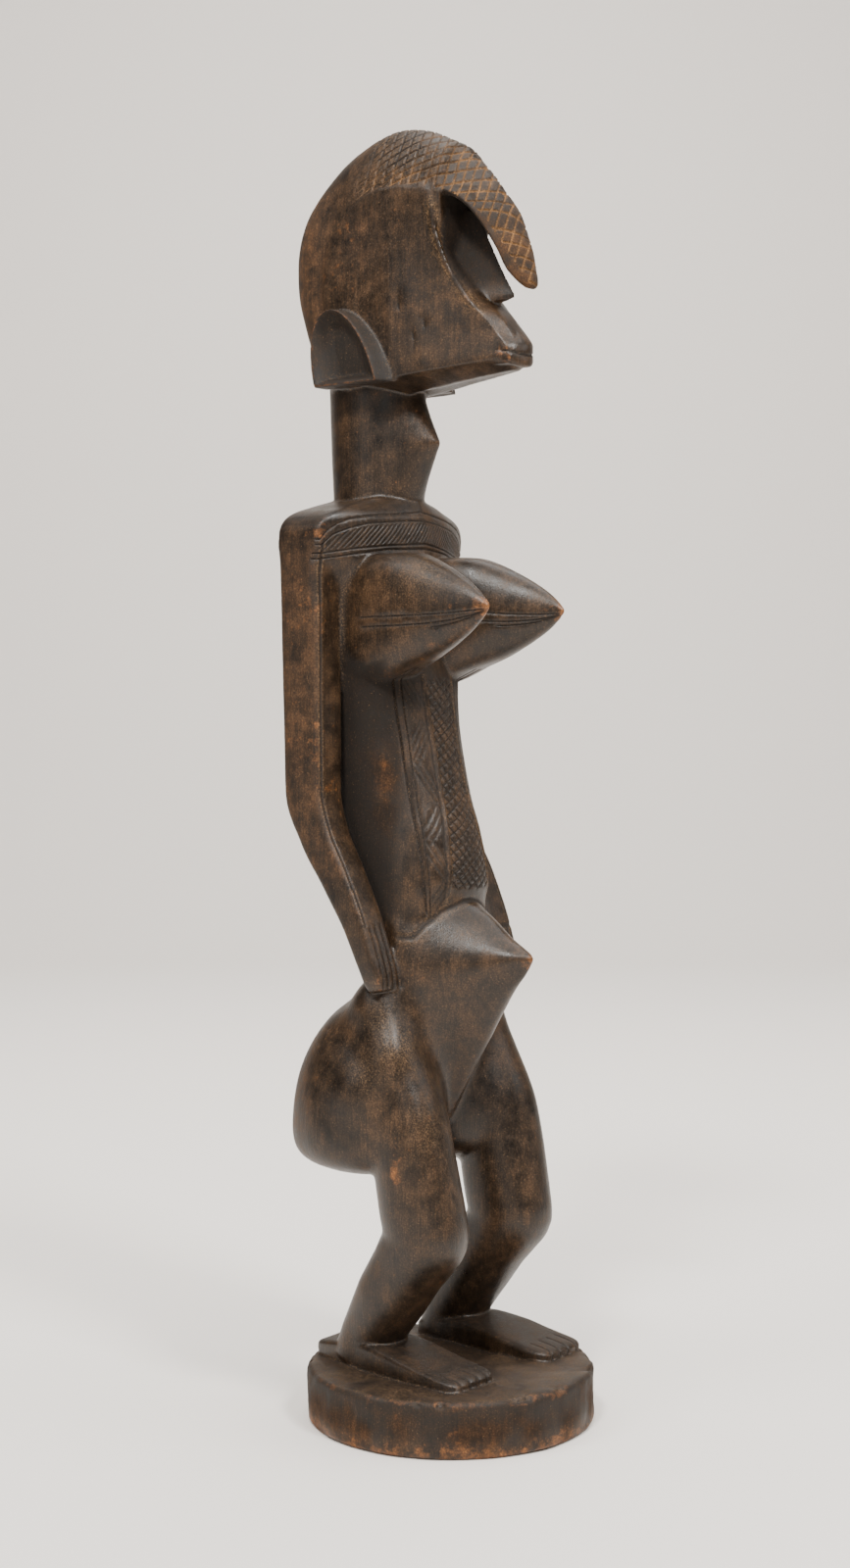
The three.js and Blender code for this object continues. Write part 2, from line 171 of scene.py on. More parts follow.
def meshOf(name, points, faces):
    # Blender's own mesh from an array of points and one of triangles
    mesh = bpy.data.meshes.new(name)
    mesh.vertices.add(len(points))
    mesh.vertices.foreach_set("co", np.ascontiguousarray(points, np.float32).ravel())
    mesh.loops.add(len(faces) * 3)
    mesh.loops.foreach_set("vertex_index", np.ascontiguousarray(faces, np.int32).ravel())
    mesh.polygons.add(len(faces))
    mesh.polygons.foreach_set("loop_start", np.arange(len(faces), dtype=np.int32) * 3)
    mesh.update(calc_edges=True)
    mesh.validate()
    return mesh


def throughModifier(points, faces, kind, **settings):
    # The mesh after one modifier, as points and triangles
    holder = bpy.data.objects.new("work", meshOf("work", points, faces))
    bpy.context.scene.collection.objects.link(holder)
    modifier = holder.modifiers.new("work", kind)
    for key, value in settings.items():
        setattr(modifier, key, value)
    result = bpy.data.meshes.new_from_object(holder.evaluated_get(bpy.context.evaluated_depsgraph_get()))
    result.calc_loop_triangles()
    newPoints = np.empty(len(result.vertices) * 3, np.float32)
    newFaces = np.empty(len(result.loop_triangles) * 3, np.int32)
    result.vertices.foreach_get("co", newPoints)
    result.loop_triangles.foreach_get("vertices", newFaces)
    bpy.data.objects.remove(holder)
    bpy.data.meshes.remove(result)
    return newPoints.reshape(-1, 3).astype(float), newFaces.reshape(-1, 3)


def remeshed(points, faces, voxel):
    # One skin round everything that overlaps, from voxels of that size
    return throughModifier(points, faces, "REMESH", mode="VOXEL", voxel_size=voxel, adaptivity=0)


def normalsOf(points, faces):
    # Each point's direction outwards: the sum of its faces' cross products, scaled to one
    p, q, r = (points[faces[:, k]] for k in range(3))
    flat = np.cross(q - p, r - p)
    total = np.stack([sum(np.bincount(faces[:, k], flat[:, axis], len(points)) for k in range(3))
                      for axis in range(3)], axis=-1)
    return total / np.maximum(np.linalg.norm(total, axis=1), 1e-12)[:, None]


def neighbourMean(values, faces, rounds, weight=1.0):
    # Each point moves by its weight towards the mean of its neighbours, as many times as asked;
    # only the faces round points that move are looked at
    values = values.copy()
    weight = np.broadcast_to(weight, len(values))
    faces = faces[(weight[faces] > 0.001).any(axis=1)]
    used, local = np.unique(faces, return_inverse=True)
    faces = local.reshape(-1, 3)
    a = np.concatenate([faces[:, 0], faces[:, 1], faces[:, 2]])
    b = np.concatenate([faces[:, 1], faces[:, 2], faces[:, 0]])
    count = np.maximum(np.bincount(a, minlength=len(used)), 1)[:, None]
    share = weight[used][:, None]
    part = values[used]
    for _ in range(rounds):
        mean = np.stack([np.bincount(a, part[b, k], len(used)) for k in range(part.shape[1])], axis=-1)
        part = part + (mean / count - part) * share
    values[used] = part
    return values


def softened(points, faces, key, mask=1.0):
    # Smoothing by the rounds and share that the key names, as far as the mask lets it
    rounds, share = soften[key]
    return neighbourMean(points, faces, rounds, share * mask)


def softNoise(points, size, seed):
    # Smooth noise from -1 to 1: random values on a grid of that size, blended between its corners
    lattice = np.random.default_rng(seed).uniform(-1, 1, (32, 32, 32))
    at = points / size
    cell = np.floor(at).astype(int)
    u = at - cell
    u = u * u * (3 - 2 * u)
    total = np.zeros(len(points))
    for corner in np.ndindex(2, 2, 2):
        share = np.prod([u[:, k] if corner[k] else 1 - u[:, k] for k in range(3)], axis=0)
        spot = [(cell[:, k] + corner[k]) % 32 for k in range(3)]
        total += lattice[spot[0], spot[1], spot[2]] * share
    return total


def ramp(values, low, high):
    # From 0 at low to 1 at high, smoothly
    share = np.clip((values - low) / (high - low), 0, 1)
    return share * share * (3 - 2 * share)


# Trunk, belly, buttocks and legs flow into each other, so they are joined and softened first

trunk = {
    "rows": [[285, 40, -11, 46], [302, 40, -13.5, 51], [314.5, 40, -16, 54], [340.5, 40.5, -11.5, 66],
             [363.5, 40.5, -4, 71], [400.5, 40.5, 5, 74], [432.5, 43.5, 10, 75], [465, 47, 16, 76],
             [505, 48, 20, 77]],  # height, half width, front, back
    "front": 1.0, "back": 0.72,
}


def trunkSkin():
    # Level ovals whose half width, front and back follow the height: pointed in front, fuller behind
    z, halfWidth, front, back = through(trunk["rows"], 90).T
    centres = np.stack([0 * z, (front + back) / 2, z], axis=-1)
    pointed, full = (ovals(centres, deepAxis, halfWidth, (back - front) / 2, trunk[key])
                     for key in ("front", "back"))
    behind = pointed[:, :, 1:2] > centres[:, None, 1:2]
    return skin(np.where(behind, full, pointed))


belly = {
    "rows": [[172, 14, 1, 12, 30], [195, 22, -12.8, 12, 36], [215, 32, -25.7, 10, 40],
             [235, 42, -38.6, 8, 42], [256, 46, -52, 8, 41], [269, 45.5, -60.5, 8, 41],
             [271.5, 45, -62, 8, 41], [274, 44.5, -60.5, 8, 41], [281, 42.5, -49, 9, 42],
             [291, 40.5, -34.8, 10, 44], [301, 38, -19, 14, 47]],
    "keel": 1.2, "navel": [0, -62, 271.5],
}  # height, half width, front at the middle, y at the sides, back; then how pointed the front is


def bellySkin():
    # Level rings: the front falls back from the keel as a power of the share across, the back is an ellipse
    z, halfWidth, front, side, back = through(belly["rows"], 120, sharp=True).T[:, :, None]
    return skin(slabs(
        z[:, 0], halfWidth[:, 0],
        lambda share: front + (side - front) * np.abs(share) ** belly["keel"],
        lambda share: side + (back - side) * np.sqrt(1 - share ** 2),
    ))


leg = {
    "x": 40, "thigh": 25.2, "shin": 21, "ankle": 17.5, "farInward": 3, "paredTowards": [0.629, 0.777],
    "flat": [[95, 0], [112, 0.06], [138, 0.12], [158, 0.165], [195, 0.17], [223, 0.26], [240, 0.3],
             [262, 0.1]],
}  # how far the inner front is pared away, by height


def legSkin(side):
    # Tube of ovals through hip, knee and ankle; what faces the other leg is drawn in by a share of its radius
    inward = leg["farInward"] if side > 0 else 0
    across, forward = leg["paredTowards"]
    x, thigh, shin, ankle = (leg[key] for key in ("x", "thigh", "shin", "ankle"))
    centres, rings = limb([
        [25, 20, 270, 10, 10], [30, 20, 258, 17, 15], [36, 17.5, 240, 23, 20.5],
        [37.4, 12, 215, thigh - 1, 24], [x, -3.5, 177.5, thigh, 25.2], [x, -12, 127, thigh - 0.8, 25.6],
        [x, -15, 112, thigh - 2, 25.2], [x, -0.8, 92, shin + 0.5, 21.4], [x, 12, 73, shin, 20.5],
        [x - inward * 0.7, 27.5 - inward * 0.7, 49, ankle, ankle],
        [x - inward, 34 - inward, 33, ankle, ankle],
    ], side, 0.9, 96, 160, sharp=True, ease=1)
    away = rings - centres[:, None, :]
    size = np.maximum(np.linalg.norm(away, axis=2), 1e-6)
    facing = np.clip((away[:, :, 0] * -across * side - away[:, :, 1] * forward) / size, 0, 1)
    pared = np.interp(centres[:, 2], *np.array(leg["flat"]).T)[:, None] * facing ** 1.5
    return skin(centres[:, None, :] + away * (1 - pared)[:, :, None])


buttock = {"x": 33.6, "y": 34.9, "z": 172, "halfWidth": 41.5, "halfDepth": 49, "rise": 75.5, "drop": 29}


def buttockSkin(side):
    # Flat ovals whose size follows a tall dome above the widest level and a flat bowl below it
    turn = np.linspace(-1, 1, 81) * np.pi / 2
    reach = np.abs(np.sin(turn)) * 0.998
    low = turn < 0
    size = np.where(low, (1 - reach ** 3.4) ** 0.42, (1 - reach ** 2) ** 0.58)
    z = buttock["z"] + np.where(low, -reach * buttock["drop"], reach * buttock["rise"])
    centres = np.stack([np.full_like(z, side * buttock["x"]), np.full_like(z, buttock["y"]), z], axis=-1)
    return skin(ovals(centres, deepAxis, buttock["halfWidth"] * size, buttock["halfDepth"] * size))


hip = {
    "eggs": [[46, 18, 240, 17, 17, 22], [36, 21, 222, 26, 27, 36]],
    "nearEggs": [[49.5, 5, 209, 17.5, 17.5, 26], [57.2, 21.8, 190, 18.5, 18.5, 29]],
}  # x, y and height of the middle, half width, half depth and half height


def hipSkins(side):
    # Upright eggs that round the hip below the hand and between thigh and buttock, fuller on the near side
    turn = np.linspace(-1, 1, 40) * np.pi / 2 * 0.99
    rise, size = np.sin(turn), np.cos(turn)
    skins = []
    for x, y, z, halfWidth, halfDepth, halfHeight in hip["eggs"] + (hip["nearEggs"] if side < 0 else []):
        centres = np.stack([0 * turn + side * x, 0 * turn + y, z + halfHeight * rise], axis=-1)
        skins.append(skin(ovals(centres, deepAxis, halfWidth * size, halfDepth * size)))
    return skins


def softBody():
    # Trunk, belly, buttocks, hips and legs as one skin, smoothed round the hips but not at the belly's keel
    skins = [trunkSkin(), bellySkin()]
    skins += [part(side) for side in (-1, 1) for part in (legSkin, buttockSkin)] + hipSkins(-1) + hipSkins(1)
    points, faces = remeshed(*joinedSkins(skins), build["softVoxel"])
    x, y, z = points.T
    point = np.linalg.norm(points - np.array(belly["navel"]), axis=1)
    keel = ramp(np.abs(x) - y * 0.4, 6, 24)  # the belly's front edge stays crisp
    hips = ramp(z, 150, 190) * (1 - ramp(z, 278, 292)) * ramp(point, 12, 34) * keel
    points = softened(points, faces, "hips", hips)
    return softened(points, faces, "body", ramp(z, 135, 160)), faces


# Shoulders and upper chest, drawn in at the back below the shoulder blades

yoke = {
    "rows": [[436, 40, 11, 45], [462, 44, 16.5, 46], [480, 47, 20, 46], [492, 54, 20, 46], [500, 63, 20, 46],
             [505, 67, 20, 46], [512, 68.3, 20, 46], [519, 67.8, 20, 45], [524, 65.8, 20.5, 43.5],
             [528, 62, 21, 42], [531.5, 55, 22, 40], [535, 43, 23.5, 38], [538.5, 31, 25, 37],
             [542, 18, 28, 37]],
    "blades": 490, "back": 76,  # height, half width, front at the middle, front at the sides
}


def yokeSkin():
    # Level rings with a bowed front and a nearly flat back, drawn in below the blades by a share of the drop
    z, halfWidth, middle, side = through(yoke["rows"], 140).T[:, :, None]
    draw = np.maximum(0, yoke["blades"] - z) * 0.4
    return skin(slabs(
        z[:, 0], halfWidth[:, 0],
        lambda share: middle + (side - middle) * np.abs(share) ** 1.7,
        lambda share: yoke["back"] + 3.5 * (1 - share ** 2) - draw,
    ))


# Square-edged arm, straight to the elbow and bent forward to the hand that lies on the hip

arm = {"x": 55.5, "halfWidth": 11.5, "halfDepth": 14.5, "spread": 4}


def armSkin(side):
    # Tube of nearly square ovals through shoulder, elbow and fingertips
    x, wide, deep = arm["x"], arm["halfWidth"], arm["halfDepth"]
    out = arm["spread"] if side > 0 else 0
    centres, rings = limb([
        [x + 0.8, 61, 512, wide + 0.7, deep + 1.2], [x, 60, 396, wide, deep],
        [x, 59.5, 368, wide, deep - 0.5],
        [55.3 + out / 2, 50.5 - out / 2, 341.5, 11.4, 11.6], [55 + out, 36 - out, 317.5, 11.2, 10],
        [54.5 + out, 23 - out, 293.5, 11, 8.4], [54 + out, 14.5 - out, 273.5, 10.6, 7.4],
        [53.4 + out, 9.5 - out, 260, 10, 6.6], [53 + out, 8 - out, 253, 8, 5],
    ], side, 0.28, 120, 160, sharp=False)
    return skin(rings)


breast = {
    "root": [23, 46, 465.5], "tip": [36.5, -57, 473.5], "halfWidth": 22.5, "halfHeight": 38.5,
    "lines": [[469.2, 0.13], [463.6, 0.13], [460.8, 0.62]],
}  # each line's height at the root and the share of the way to the tip where it starts


def breastSkin(side):
    # Upright ovals from root to tip, sized by one less a power of the way along
    way = np.sin(np.linspace(0, 1, 60) * np.pi / 2) * 0.998
    size = (1 - way ** 2.2) ** 0.85
    root, tip = np.array(breast["root"], float), np.array(breast["tip"], float)
    centres = (root + (tip - root) * way[:, None]) * [side, 1, 1]
    centres[:, 2] = root[2] + (tip[2] - root[2]) * np.minimum(1, way * 2.2)
    squarish = ovals(centres, upAxis, breast["halfWidth"] * size, breast["halfHeight"] * size, 0.5)
    rounded = ovals(centres, upAxis, breast["halfWidth"] * size, breast["halfHeight"] * size)
    blend = ramp(way, 0.2, 0.75)[:, None, None]  # square-cornered where it leaves the chest
    return skin(squarish + (rounded - squarish) * blend)


# Neck with a keel down its front, most prominent at mid height

neck = {"halfWidth": 25, "keel": [[536, 0], [573.5, 18], [600.5, 5], [616, 2]], "keelWidth": 12,
        "middle": [55.8, 57.6], "halfDepth": [28.4, 30.6]}


def neckSkin():
    # Level ovals, with a keel in front: a bell curve across whose rise follows the height
    z = np.linspace(534, 616, 80)
    middle = np.interp(z, [536, 614], neck["middle"])
    centres = np.stack([0 * z, middle, z], axis=-1)
    rings = ovals(centres, deepAxis, neck["halfWidth"], np.interp(z, [536, 614], neck["halfDepth"]))
    rise = np.interp(z, *np.array(neck["keel"]).T)[:, None]
    keel = rise * np.exp(-(rings[:, :, 0] / neck["keelWidth"]) ** 2)
    rings[:, :, 1] -= keel * (rings[:, :, 1] < middle[:, None])
    return skin(rings)


# Head below the hairline: flat sides that draw in to the face, and a shallow hollow between the face's edges

head = {
    "rows": [[618.6, 10.9, -50, -3.6, 76], [631.5, 12.2, -42.3, -6.6, 76], [641.5, 14.7, -34.6, -7, 76],
             [650.5, 17.2, -26.1, -6, 76], [660, 19.3, -20.5, -3, 76], [669.5, 21.5, -15.3, 0, 76],
             [681.5, 24, -11.4, 3.4, 75], [697.5, 26.3, -7.4, 3.4, 68], [708.5, 27.4, -6.6, 3, 59],
             [714, 28, -6, 2, 52], [718, 27.8, -4, 1, 44], [720.5, 27.6, 4, 0.5, 34]],
    "chin": [10.4, -50.8, -2.5, 76], "halfWidth": 28.4, "cheekY": 24,
    "jawBack": 609.5, "jawRise": 0.1, "keel": 7, "keelY": -2,
    "checks": [[1.0, 639.5, 7], [17.5, 650.5, 5], [8, 633, 6]],
}  # rows: height, edge's half width and y, hollow, back; checks: y, height and length


def faceRing(edge, edgeY, hollow, back, heightAt):
    # A ring through half an outline and its mirror image: hollow, face's edge, cheek, flat side and back
    wide, cheek = head["halfWidth"], head["cheekY"]
    half = np.array([
        [0, edgeY + hollow], [edge * 0.45, edgeY + hollow], [edge * 0.8, edgeY + hollow * 0.35],
        [edge, edgeY],
        [edge + (wide - edge) * 0.45, edgeY + (cheek - edgeY) * 0.38],
        [edge + (wide - edge) * 0.8, edgeY + (cheek - edgeY) * 0.7],
        [wide, cheek], [wide, (cheek + back) / 2], [wide - 0.6, back], [14, back + 1], [0, back + 1],
    ])
    steps = np.linspace(0, len(half) - 1, 8 * (len(half) - 1) + 1)
    line = np.stack([np.interp(steps, np.arange(len(half)), half[:, k]) for k in (0, 1)], axis=-1)
    ring = np.vstack([line, (line * [-1, 1])[-2:0:-1]])
    return np.column_stack([ring, heightAt(ring[:, 1])])


def faceSkin():
    # Rings by height above the jaw's edge, and below it rings drawn in towards a keel
    jawEdge = lambda y: head["jawBack"] + np.maximum(0, head["cheekY"] - y) * head["jawRise"]
    lower = faceRing(*head["chin"], jawEdge)
    rows = through(head["rows"], 110)
    rings = [faceRing(*row[1:], lambda y, z=row[0]: np.full_like(y, z)) for row in rows]
    under = []
    for share in np.linspace(1, 0, 8, endpoint=False):  # the jaw's underside, drawn in to a keel
        ring = lower.copy()
        ring[:, 0] *= 1 - 0.7 * share
        ring[:, 1] = head["keelY"] + (ring[:, 1] - head["keelY"]) * (1 - 0.07 * share)
        ring[:, 2] -= head["keel"] * share
        under.append(ring)
    return skin(np.array(under + [lower] + rings))


hairline = np.array([[-8, 716.5], [4, 718.5], [15, 720.6], [34, 720.6], [47, 717.4], [57.5, 711], [65, 702],
                     [71.7, 688], [75.5, 672], [77.5, 655]])  # y and height of the cap's lower edge


# Crested cap from the brow to the nape, and the visor that carries its crest down over the face

cap = {
    "rows": [[-12, 744, 690], [0, 750.6, 660], [15, 756.8, 650], [32, 759.3, 650], [46, 757, 645],
             [60, 752, 630], [72, 746, 612], [82, 738.5, 608], [91.5, 729.5, 619], [99, 720.5, 637],
             [105, 709, 652], [109.5, 698, 664], [111.9, 688, 676]],  # y, top, bottom
    "halfWidth": 26.6, "roundFrom": 83.5, "roundTo": 112.1,
}


def capSkin():
    # Upright ovals from brow to nape, whose half width is a quarter ellipse past the crown
    y, top, bottom = through(cap["rows"], 120).T
    past = np.clip((y - cap["roundFrom"]) / (cap["roundTo"] - cap["roundFrom"]), 0, 1)
    centres = np.stack([0 * y, y, (top + bottom) / 2], axis=-1)
    width = cap["halfWidth"] * np.sqrt(1 - past ** 2)
    return skin(ovals(centres, upAxis, width, (top - bottom) / 2, 0.8))


visor = {
    "rows": [[656, 4, -59.5, -58.5, 3], [658, 7.8, -60.8, -57, 4.5], [661.5, 11, -60.5, -54.5, 5.8],
             [667, 14, -58.6, -51, 6.5], [677.5, 17, -55.6, -47, 7.5], [689.5, 20, -51, -40.5, 8.5],
             [701.5, 23.6, -46, -32.5, 10], [708, 25.4, -42, -26, 13], [712.5, 26.4, -39, -19, 18],
             [716, 26.5, -36.8, -9, 28], [720, 26, -34.2, -2, 30], [726, 25.2, -29.5, 2, 28],
             [733, 23.4, -23.5, 5, 24], [740, 20.2, -17, 5, 20], [744, 13.5, -13.5, 3, 14],
             [746, 6, -11.5, 0, 8]],  # height, half width, front at the middle, y of its edges, thickness
}


def visorSkin():
    # Level rings: the front bows back with the square of the share across, the thickness fades at the edges
    z, halfWidth, middle, edge, thick = through(visor["rows"], 140).T[:, :, None]
    bow = lambda share: middle + (edge - middle) * share ** 2
    return skin(slabs(z[:, 0], halfWidth[:, 0], bow, lambda share: bow(share) + thick * (1 - share ** 6)))


nose = {"rows": [[650.5, -46.5], [653.5, -47], [666, -39.5], [680, -32], [695, -25], [706, -20]],
        "halfWidth": 9, "cheek": 27, "depth": 36}  # height, y of the ridge


def noseSkin():
    # Five-cornered rings along the ridge: a sharp front, two flanks and a back sunk into the face
    z, ridge = through(nose["rows"], 50, sharp=True).T
    lift = np.where(np.arange(len(z)) == 0, 1.0, 0)
    wide, cheek, deep = nose["halfWidth"], nose["cheek"], nose["depth"]
    corners = [(0, 0, 1), (wide, cheek, -1), (wide + 2, deep, -1), (-wide - 2, deep, -1), (-wide, cheek, -1)]
    rows = [np.stack([x + 0 * z, ridge + y, z + way * lift], axis=-1) for x, y, way in corners]
    return skin(np.stack(rows, axis=1))


mouth = {
    "rows": [[611.5, -53.4, 10.4, 3.4, 0.3], [612.3, -54.4, 11.2, 3.6, 0.3], [616, -54.8, 11.6, 3.6, 0.3],
             [620, -54.8, 11.6, 3.9, 0.6], [624, -54.6, 11.7, 4.8, 1.6], [627, -53, 11.9, 4.8, 2.4],
             [631.5, -49.5, 12.2, 4.9, 2.3], [638, -44.2, 13.8, 5.4, 1.6], [648, -35.2, 16.7, 6.1, 1],
             [654, -30.2, 18, 6.4, 0.6]],
    "depth": 12, "slit": 618.3, "keel": 5, "keelTop": 620,
}  # rows: height, y at the middle, half width, how far the corners lie back, turn


def mouthSkin():
    # Level rings bowed with the square of the share across and turned a little, with a depth behind them
    z, middle, wide, corner, turned = through(mouth["rows"], 90).T[:, :, None]
    bow = lambda share: middle + corner * share ** 2 - turned * share
    rings = slabs(z[:, 0], wide[:, 0], bow, lambda share: bow(share) + mouth["depth"])
    low = np.clip((mouth["keelTop"] - rings[:, :, 2]) / (mouth["keelTop"] - z[0, 0]), 0, 1)
    # the chin is lowest at its middle
    rings[:, :, 2] += mouth["keel"] * low * (rings[:, :, 0] / wide.max()) ** 2
    return skin(rings)


# Ear: an arched flange that stands off the head, flared at its root and hollowed from outside

ear = {"rootX": 26, "rimX": 38.5, "bottom": 607, "height": 45.5, "halfWidth": 24.5, "y": 50, "lean": 12.5,
       "flare": 6, "scoop": 9}


def earSkin(side):
    # Arches from root to rim and into the scoop, each half a turn of sines and cosines closed along its floor
    def arch(x, grow, lift=0.0):
        turn = np.linspace(0, np.pi, 61)
        rise, ahead = np.sin(turn), np.cos(turn)
        reach = ear["halfWidth"] + np.where(ahead > 0, grow, min(grow, 0))
        over = np.stack([np.full_like(turn, side * x), ear["y"] + ear["lean"] * rise - ahead * reach,
                         ear["bottom"] + lift + rise * (ear["height"] + min(grow, 0))], axis=-1)
        floor = np.linspace(over[-1], over[0], 31)[1:-1]
        return np.vstack([over, floor])
    rim, scoop = ear["rimX"], ear["scoop"]
    return skin(np.array([
        arch(ear["rootX"], ear["flare"]), arch(rim - 6, ear["flare"] * 0.35), arch(rim - 0.8, 0),
        arch(rim, -0.8, 0.6), arch(rim - 0.2, -2.4, 1.6), arch(rim - 1.5, -3.2, 2.4),
        arch(rim - scoop * 0.5, -6.5, 4), arch(rim - scoop * 0.8, -10, 5), arch(rim - scoop, -15, 7),
    ]))


# Flat feet with five toes, and the round base

foot = {
    "rows": [[0, 9, 6], [0.04, 14.5, 8.5], [0.14, 17, 11], [0.26, 18.5, 13.5], [0.4, 19.5, 15],
             [0.54, 20.5, 13.5], [0.67, 21, 11], [0.82, 21, 8], [0.94, 20, 6.2], [0.98, 18, 5.2],
             [1, 15, 3.6]],
    "places": {-1: [[-35, 66], [-44.5, -53]], 1: [[37, 47], [38, -56]]},
    "toes": 5, "toeSpan": 34, "toeLength": 17,
}  # rows: share of the length, half width, rise; places: heel and toe tip of each foot
base = {"radius": 84, "height": 31.9, "topRim": 3.4, "footRim": 3.2, "middle": 3}


def footSkin(side):
    # Upright, nearly square ovals from heel to toe, with a half width and a rise for each share of the length
    share, halfWidth, rise = through(foot["rows"], 90).T
    heel, toe = (np.array(place, float) for place in foot["places"][side])
    sunk, top = base["height"] - 8, base["height"] + rise
    spots = heel + (toe - heel) * share[:, None]
    centres = np.column_stack([spots, (top + sunk) / 2])
    return skin(ovals(centres, upAxis, halfWidth, (top - sunk) / 2, 0.24))


def baseSkin():
    # Outline turned about the upright axis, its corners quarter circles
    quarter = np.linspace(0, np.pi / 2, 7)
    radius, height, lowRim, rim = (base[key] for key in ("radius", "height", "footRim", "topRim"))
    sine, cosine = np.sin(quarter), np.cos(quarter)
    low = np.stack([radius - lowRim + sine * lowRim, lowRim * (1 - cosine)], axis=-1)
    wall = np.linspace([radius, lowRim], [radius, height - rim], 24)[1:-1]
    high = np.stack([radius - rim + cosine * rim, height - rim + sine * rim], axis=-1)
    tops = np.linspace([radius - rim, height], [base["middle"], height], 30)[1:]
    under = np.linspace([base["middle"], 0], [radius - lowRim, 0], 30)[:-1]
    outline = np.vstack([under, low, wall, high, tops])
    turn = np.linspace(0, 2 * np.pi, 240, endpoint=False)
    rings = np.stack([outline[:, :1] * np.cos(turn) - build["bodyX"],
                      outline[:, :1] * np.sin(turn) - build["bodyY"],
                      np.tile(outline[:, 1:], len(turn))], axis=-1)
    return skin(rings)


def wholeFigure():
    # One skin round every form, its seams eased and its faces halved where lines are to be cut
    skins = [softBody(), yokeSkin(), neckSkin(), faceSkin(), capSkin(), visorSkin(), noseSkin(), mouthSkin()]
    skins += [part(side) for side in (-1, 1) for part in (armSkin, breastSkin, earSkin, footSkin)]
    skins.append(baseSkin())
    points, faces = remeshed(*joinedSkins(skins), build["voxel"])
    print("figure joined:", len(points), "points")
    x, y, z = points.T
    crisp = ramp(z, 605, 612) * 0.6 + (1 - ramp(z, 42, 56)) * 0.9  # head and feet keep their edges
    seam = ramp(y, -30, -20) * (1 - ramp(y, 4, 16)) * ramp(z, 712, 722)  # where the visor leaves the cap
    side = np.abs(x)
    armpit = ramp(side, 44, 50) * ramp(z, 474, 484) * (1 - ramp(z, 503, 508)) * (1 - ramp(y, 50, 56))
    faceEdge = np.interp(z, *np.array(head["rows"])[:, :2].T)
    cheek = ramp(side, 2, 5) * (1 - ramp(side - faceEdge, -6, -2))
    cheek *= ramp(z, 652, 662) * (1 - ramp(z, 700, 708))
    cheek *= (y < 8) & (y > np.interp(z, [656, 716], [-52, -30]) + side * 0.5)
    points = softened(points, faces, "hollows", np.maximum.reduce([seam, armpit, cheek]))
    points = softened(points, faces, "seams", 1 - crisp)
    if fine:
        points, faces = splitNear(points, faces, carvedZone(points))
    return softened(points, faces, "halved"), faces


def carvedZone(points):
    # Where line work needs a finer skin: the cap and visor, the chest band, the trunk's front and the breasts
    x, y, z = points.T
    side = np.abs(x)
    headTop = (z > np.interp(y, *hairline.T) - 2) & (y > -12) & (y < 66) | (y < -8) & (z > 655)
    band = (z > 500) & (z < 536) & (y < 50)
    front = (z > 294) & (z < 436) & (side < 32) & (y < 22)
    cone = (z > 455) & (z < 476) & (y < 40) & (y > -52)
    return headTop & (z > 640) | band | front | cone


def splitNear(points, faces, chosen):
    # Faces with three chosen corners become four; those with two share the split edge's middle
    corners = chosen[faces].sum(axis=1)
    turn = np.argmin(chosen[faces], axis=1)  # the corner left out comes last
    order = (turn[:, None] + np.array([1, 2, 3])) % 3
    turned = np.take_along_axis(faces, order, axis=1)
    whole, half, rest = faces[corners == 3], turned[corners == 2], faces[corners < 2]
    ends = np.vstack([whole[:, [0, 1]], whole[:, [1, 2]], whole[:, [2, 0]], half[:, [0, 1]]])
    pairs, back = np.unique(np.sort(ends, axis=1), axis=0, return_inverse=True)
    middle = back.reshape(-1) + len(points)
    points = np.vstack([points, points[pairs].mean(axis=1)])
    count = len(whole)
    a, b, c = whole.T
    ab, bc, ca = middle[:count], middle[count:2 * count], middle[2 * count:3 * count]
    m = middle[3 * count:]
    corners = ((a, ab, ca), (ab, b, bc), (ca, bc, c), (ab, bc, ca),
               (half[:, 0], m, half[:, 2]), (m, half[:, 1], half[:, 2]))
    return points, np.vstack([rest, *(np.stack(three, axis=-1) for three in corners)])


points, faces = wholeFigure()
normals = normalsOf(points, faces)


# Knife work: every line is a groove or a ridge along a curve on the surface it was cut into

def groove(distance, halfWidth, depth):
    # A V cut with a slight burr along both its sides
    off = np.abs(distance)
    burr = 0.12 * np.exp(-((off - halfWidth * 1.25) / (0.4 * halfWidth)) ** 2)
    return depth * (burr - np.clip(1 - off / halfWidth, 0, 1))


def lines(phase, spacing, halfWidth, depth):
    # Parallel grooves where the phase, in mm, crosses a multiple of the spacing
    return groove((phase + spacing / 2) % spacing - spacing / 2, halfWidth, depth)


# Cross-hatching of the cap and visor: two families of cuts, each close to a set of planes. The level ones
# follow z + 0.17 y and sink towards the back; the cross ones follow 0.58 across - 0.76 y - 0.27 z

hatching = {
    "levels": [[636, 17], [665.5, 13], [672.4, 12], [679.6, 11], [686.3, 10], [692.2, 9], [698.5, 8],
               [706.5, 7], [716, 6], [725, 5], [732.3, 4], [737.3, 3], [742.1, 2], [747.1, 1], [752, 0],
               [757, -1], [792, -8]],
    "crossGap": 5.2, "halfWidth": 0.8, "depth": 1.05, "end": [34, 58], "middle": 12,
    "rim": [[656, 3], [658, 4], [666, 8.4], [674, 12.2], [681, 14.6], [688, 17], [696, 18.8], [703, 22.6],
            [710, 27]],
}  # height and number of each level cut; y where the cuts fade; how far across the visor's rim strip begins


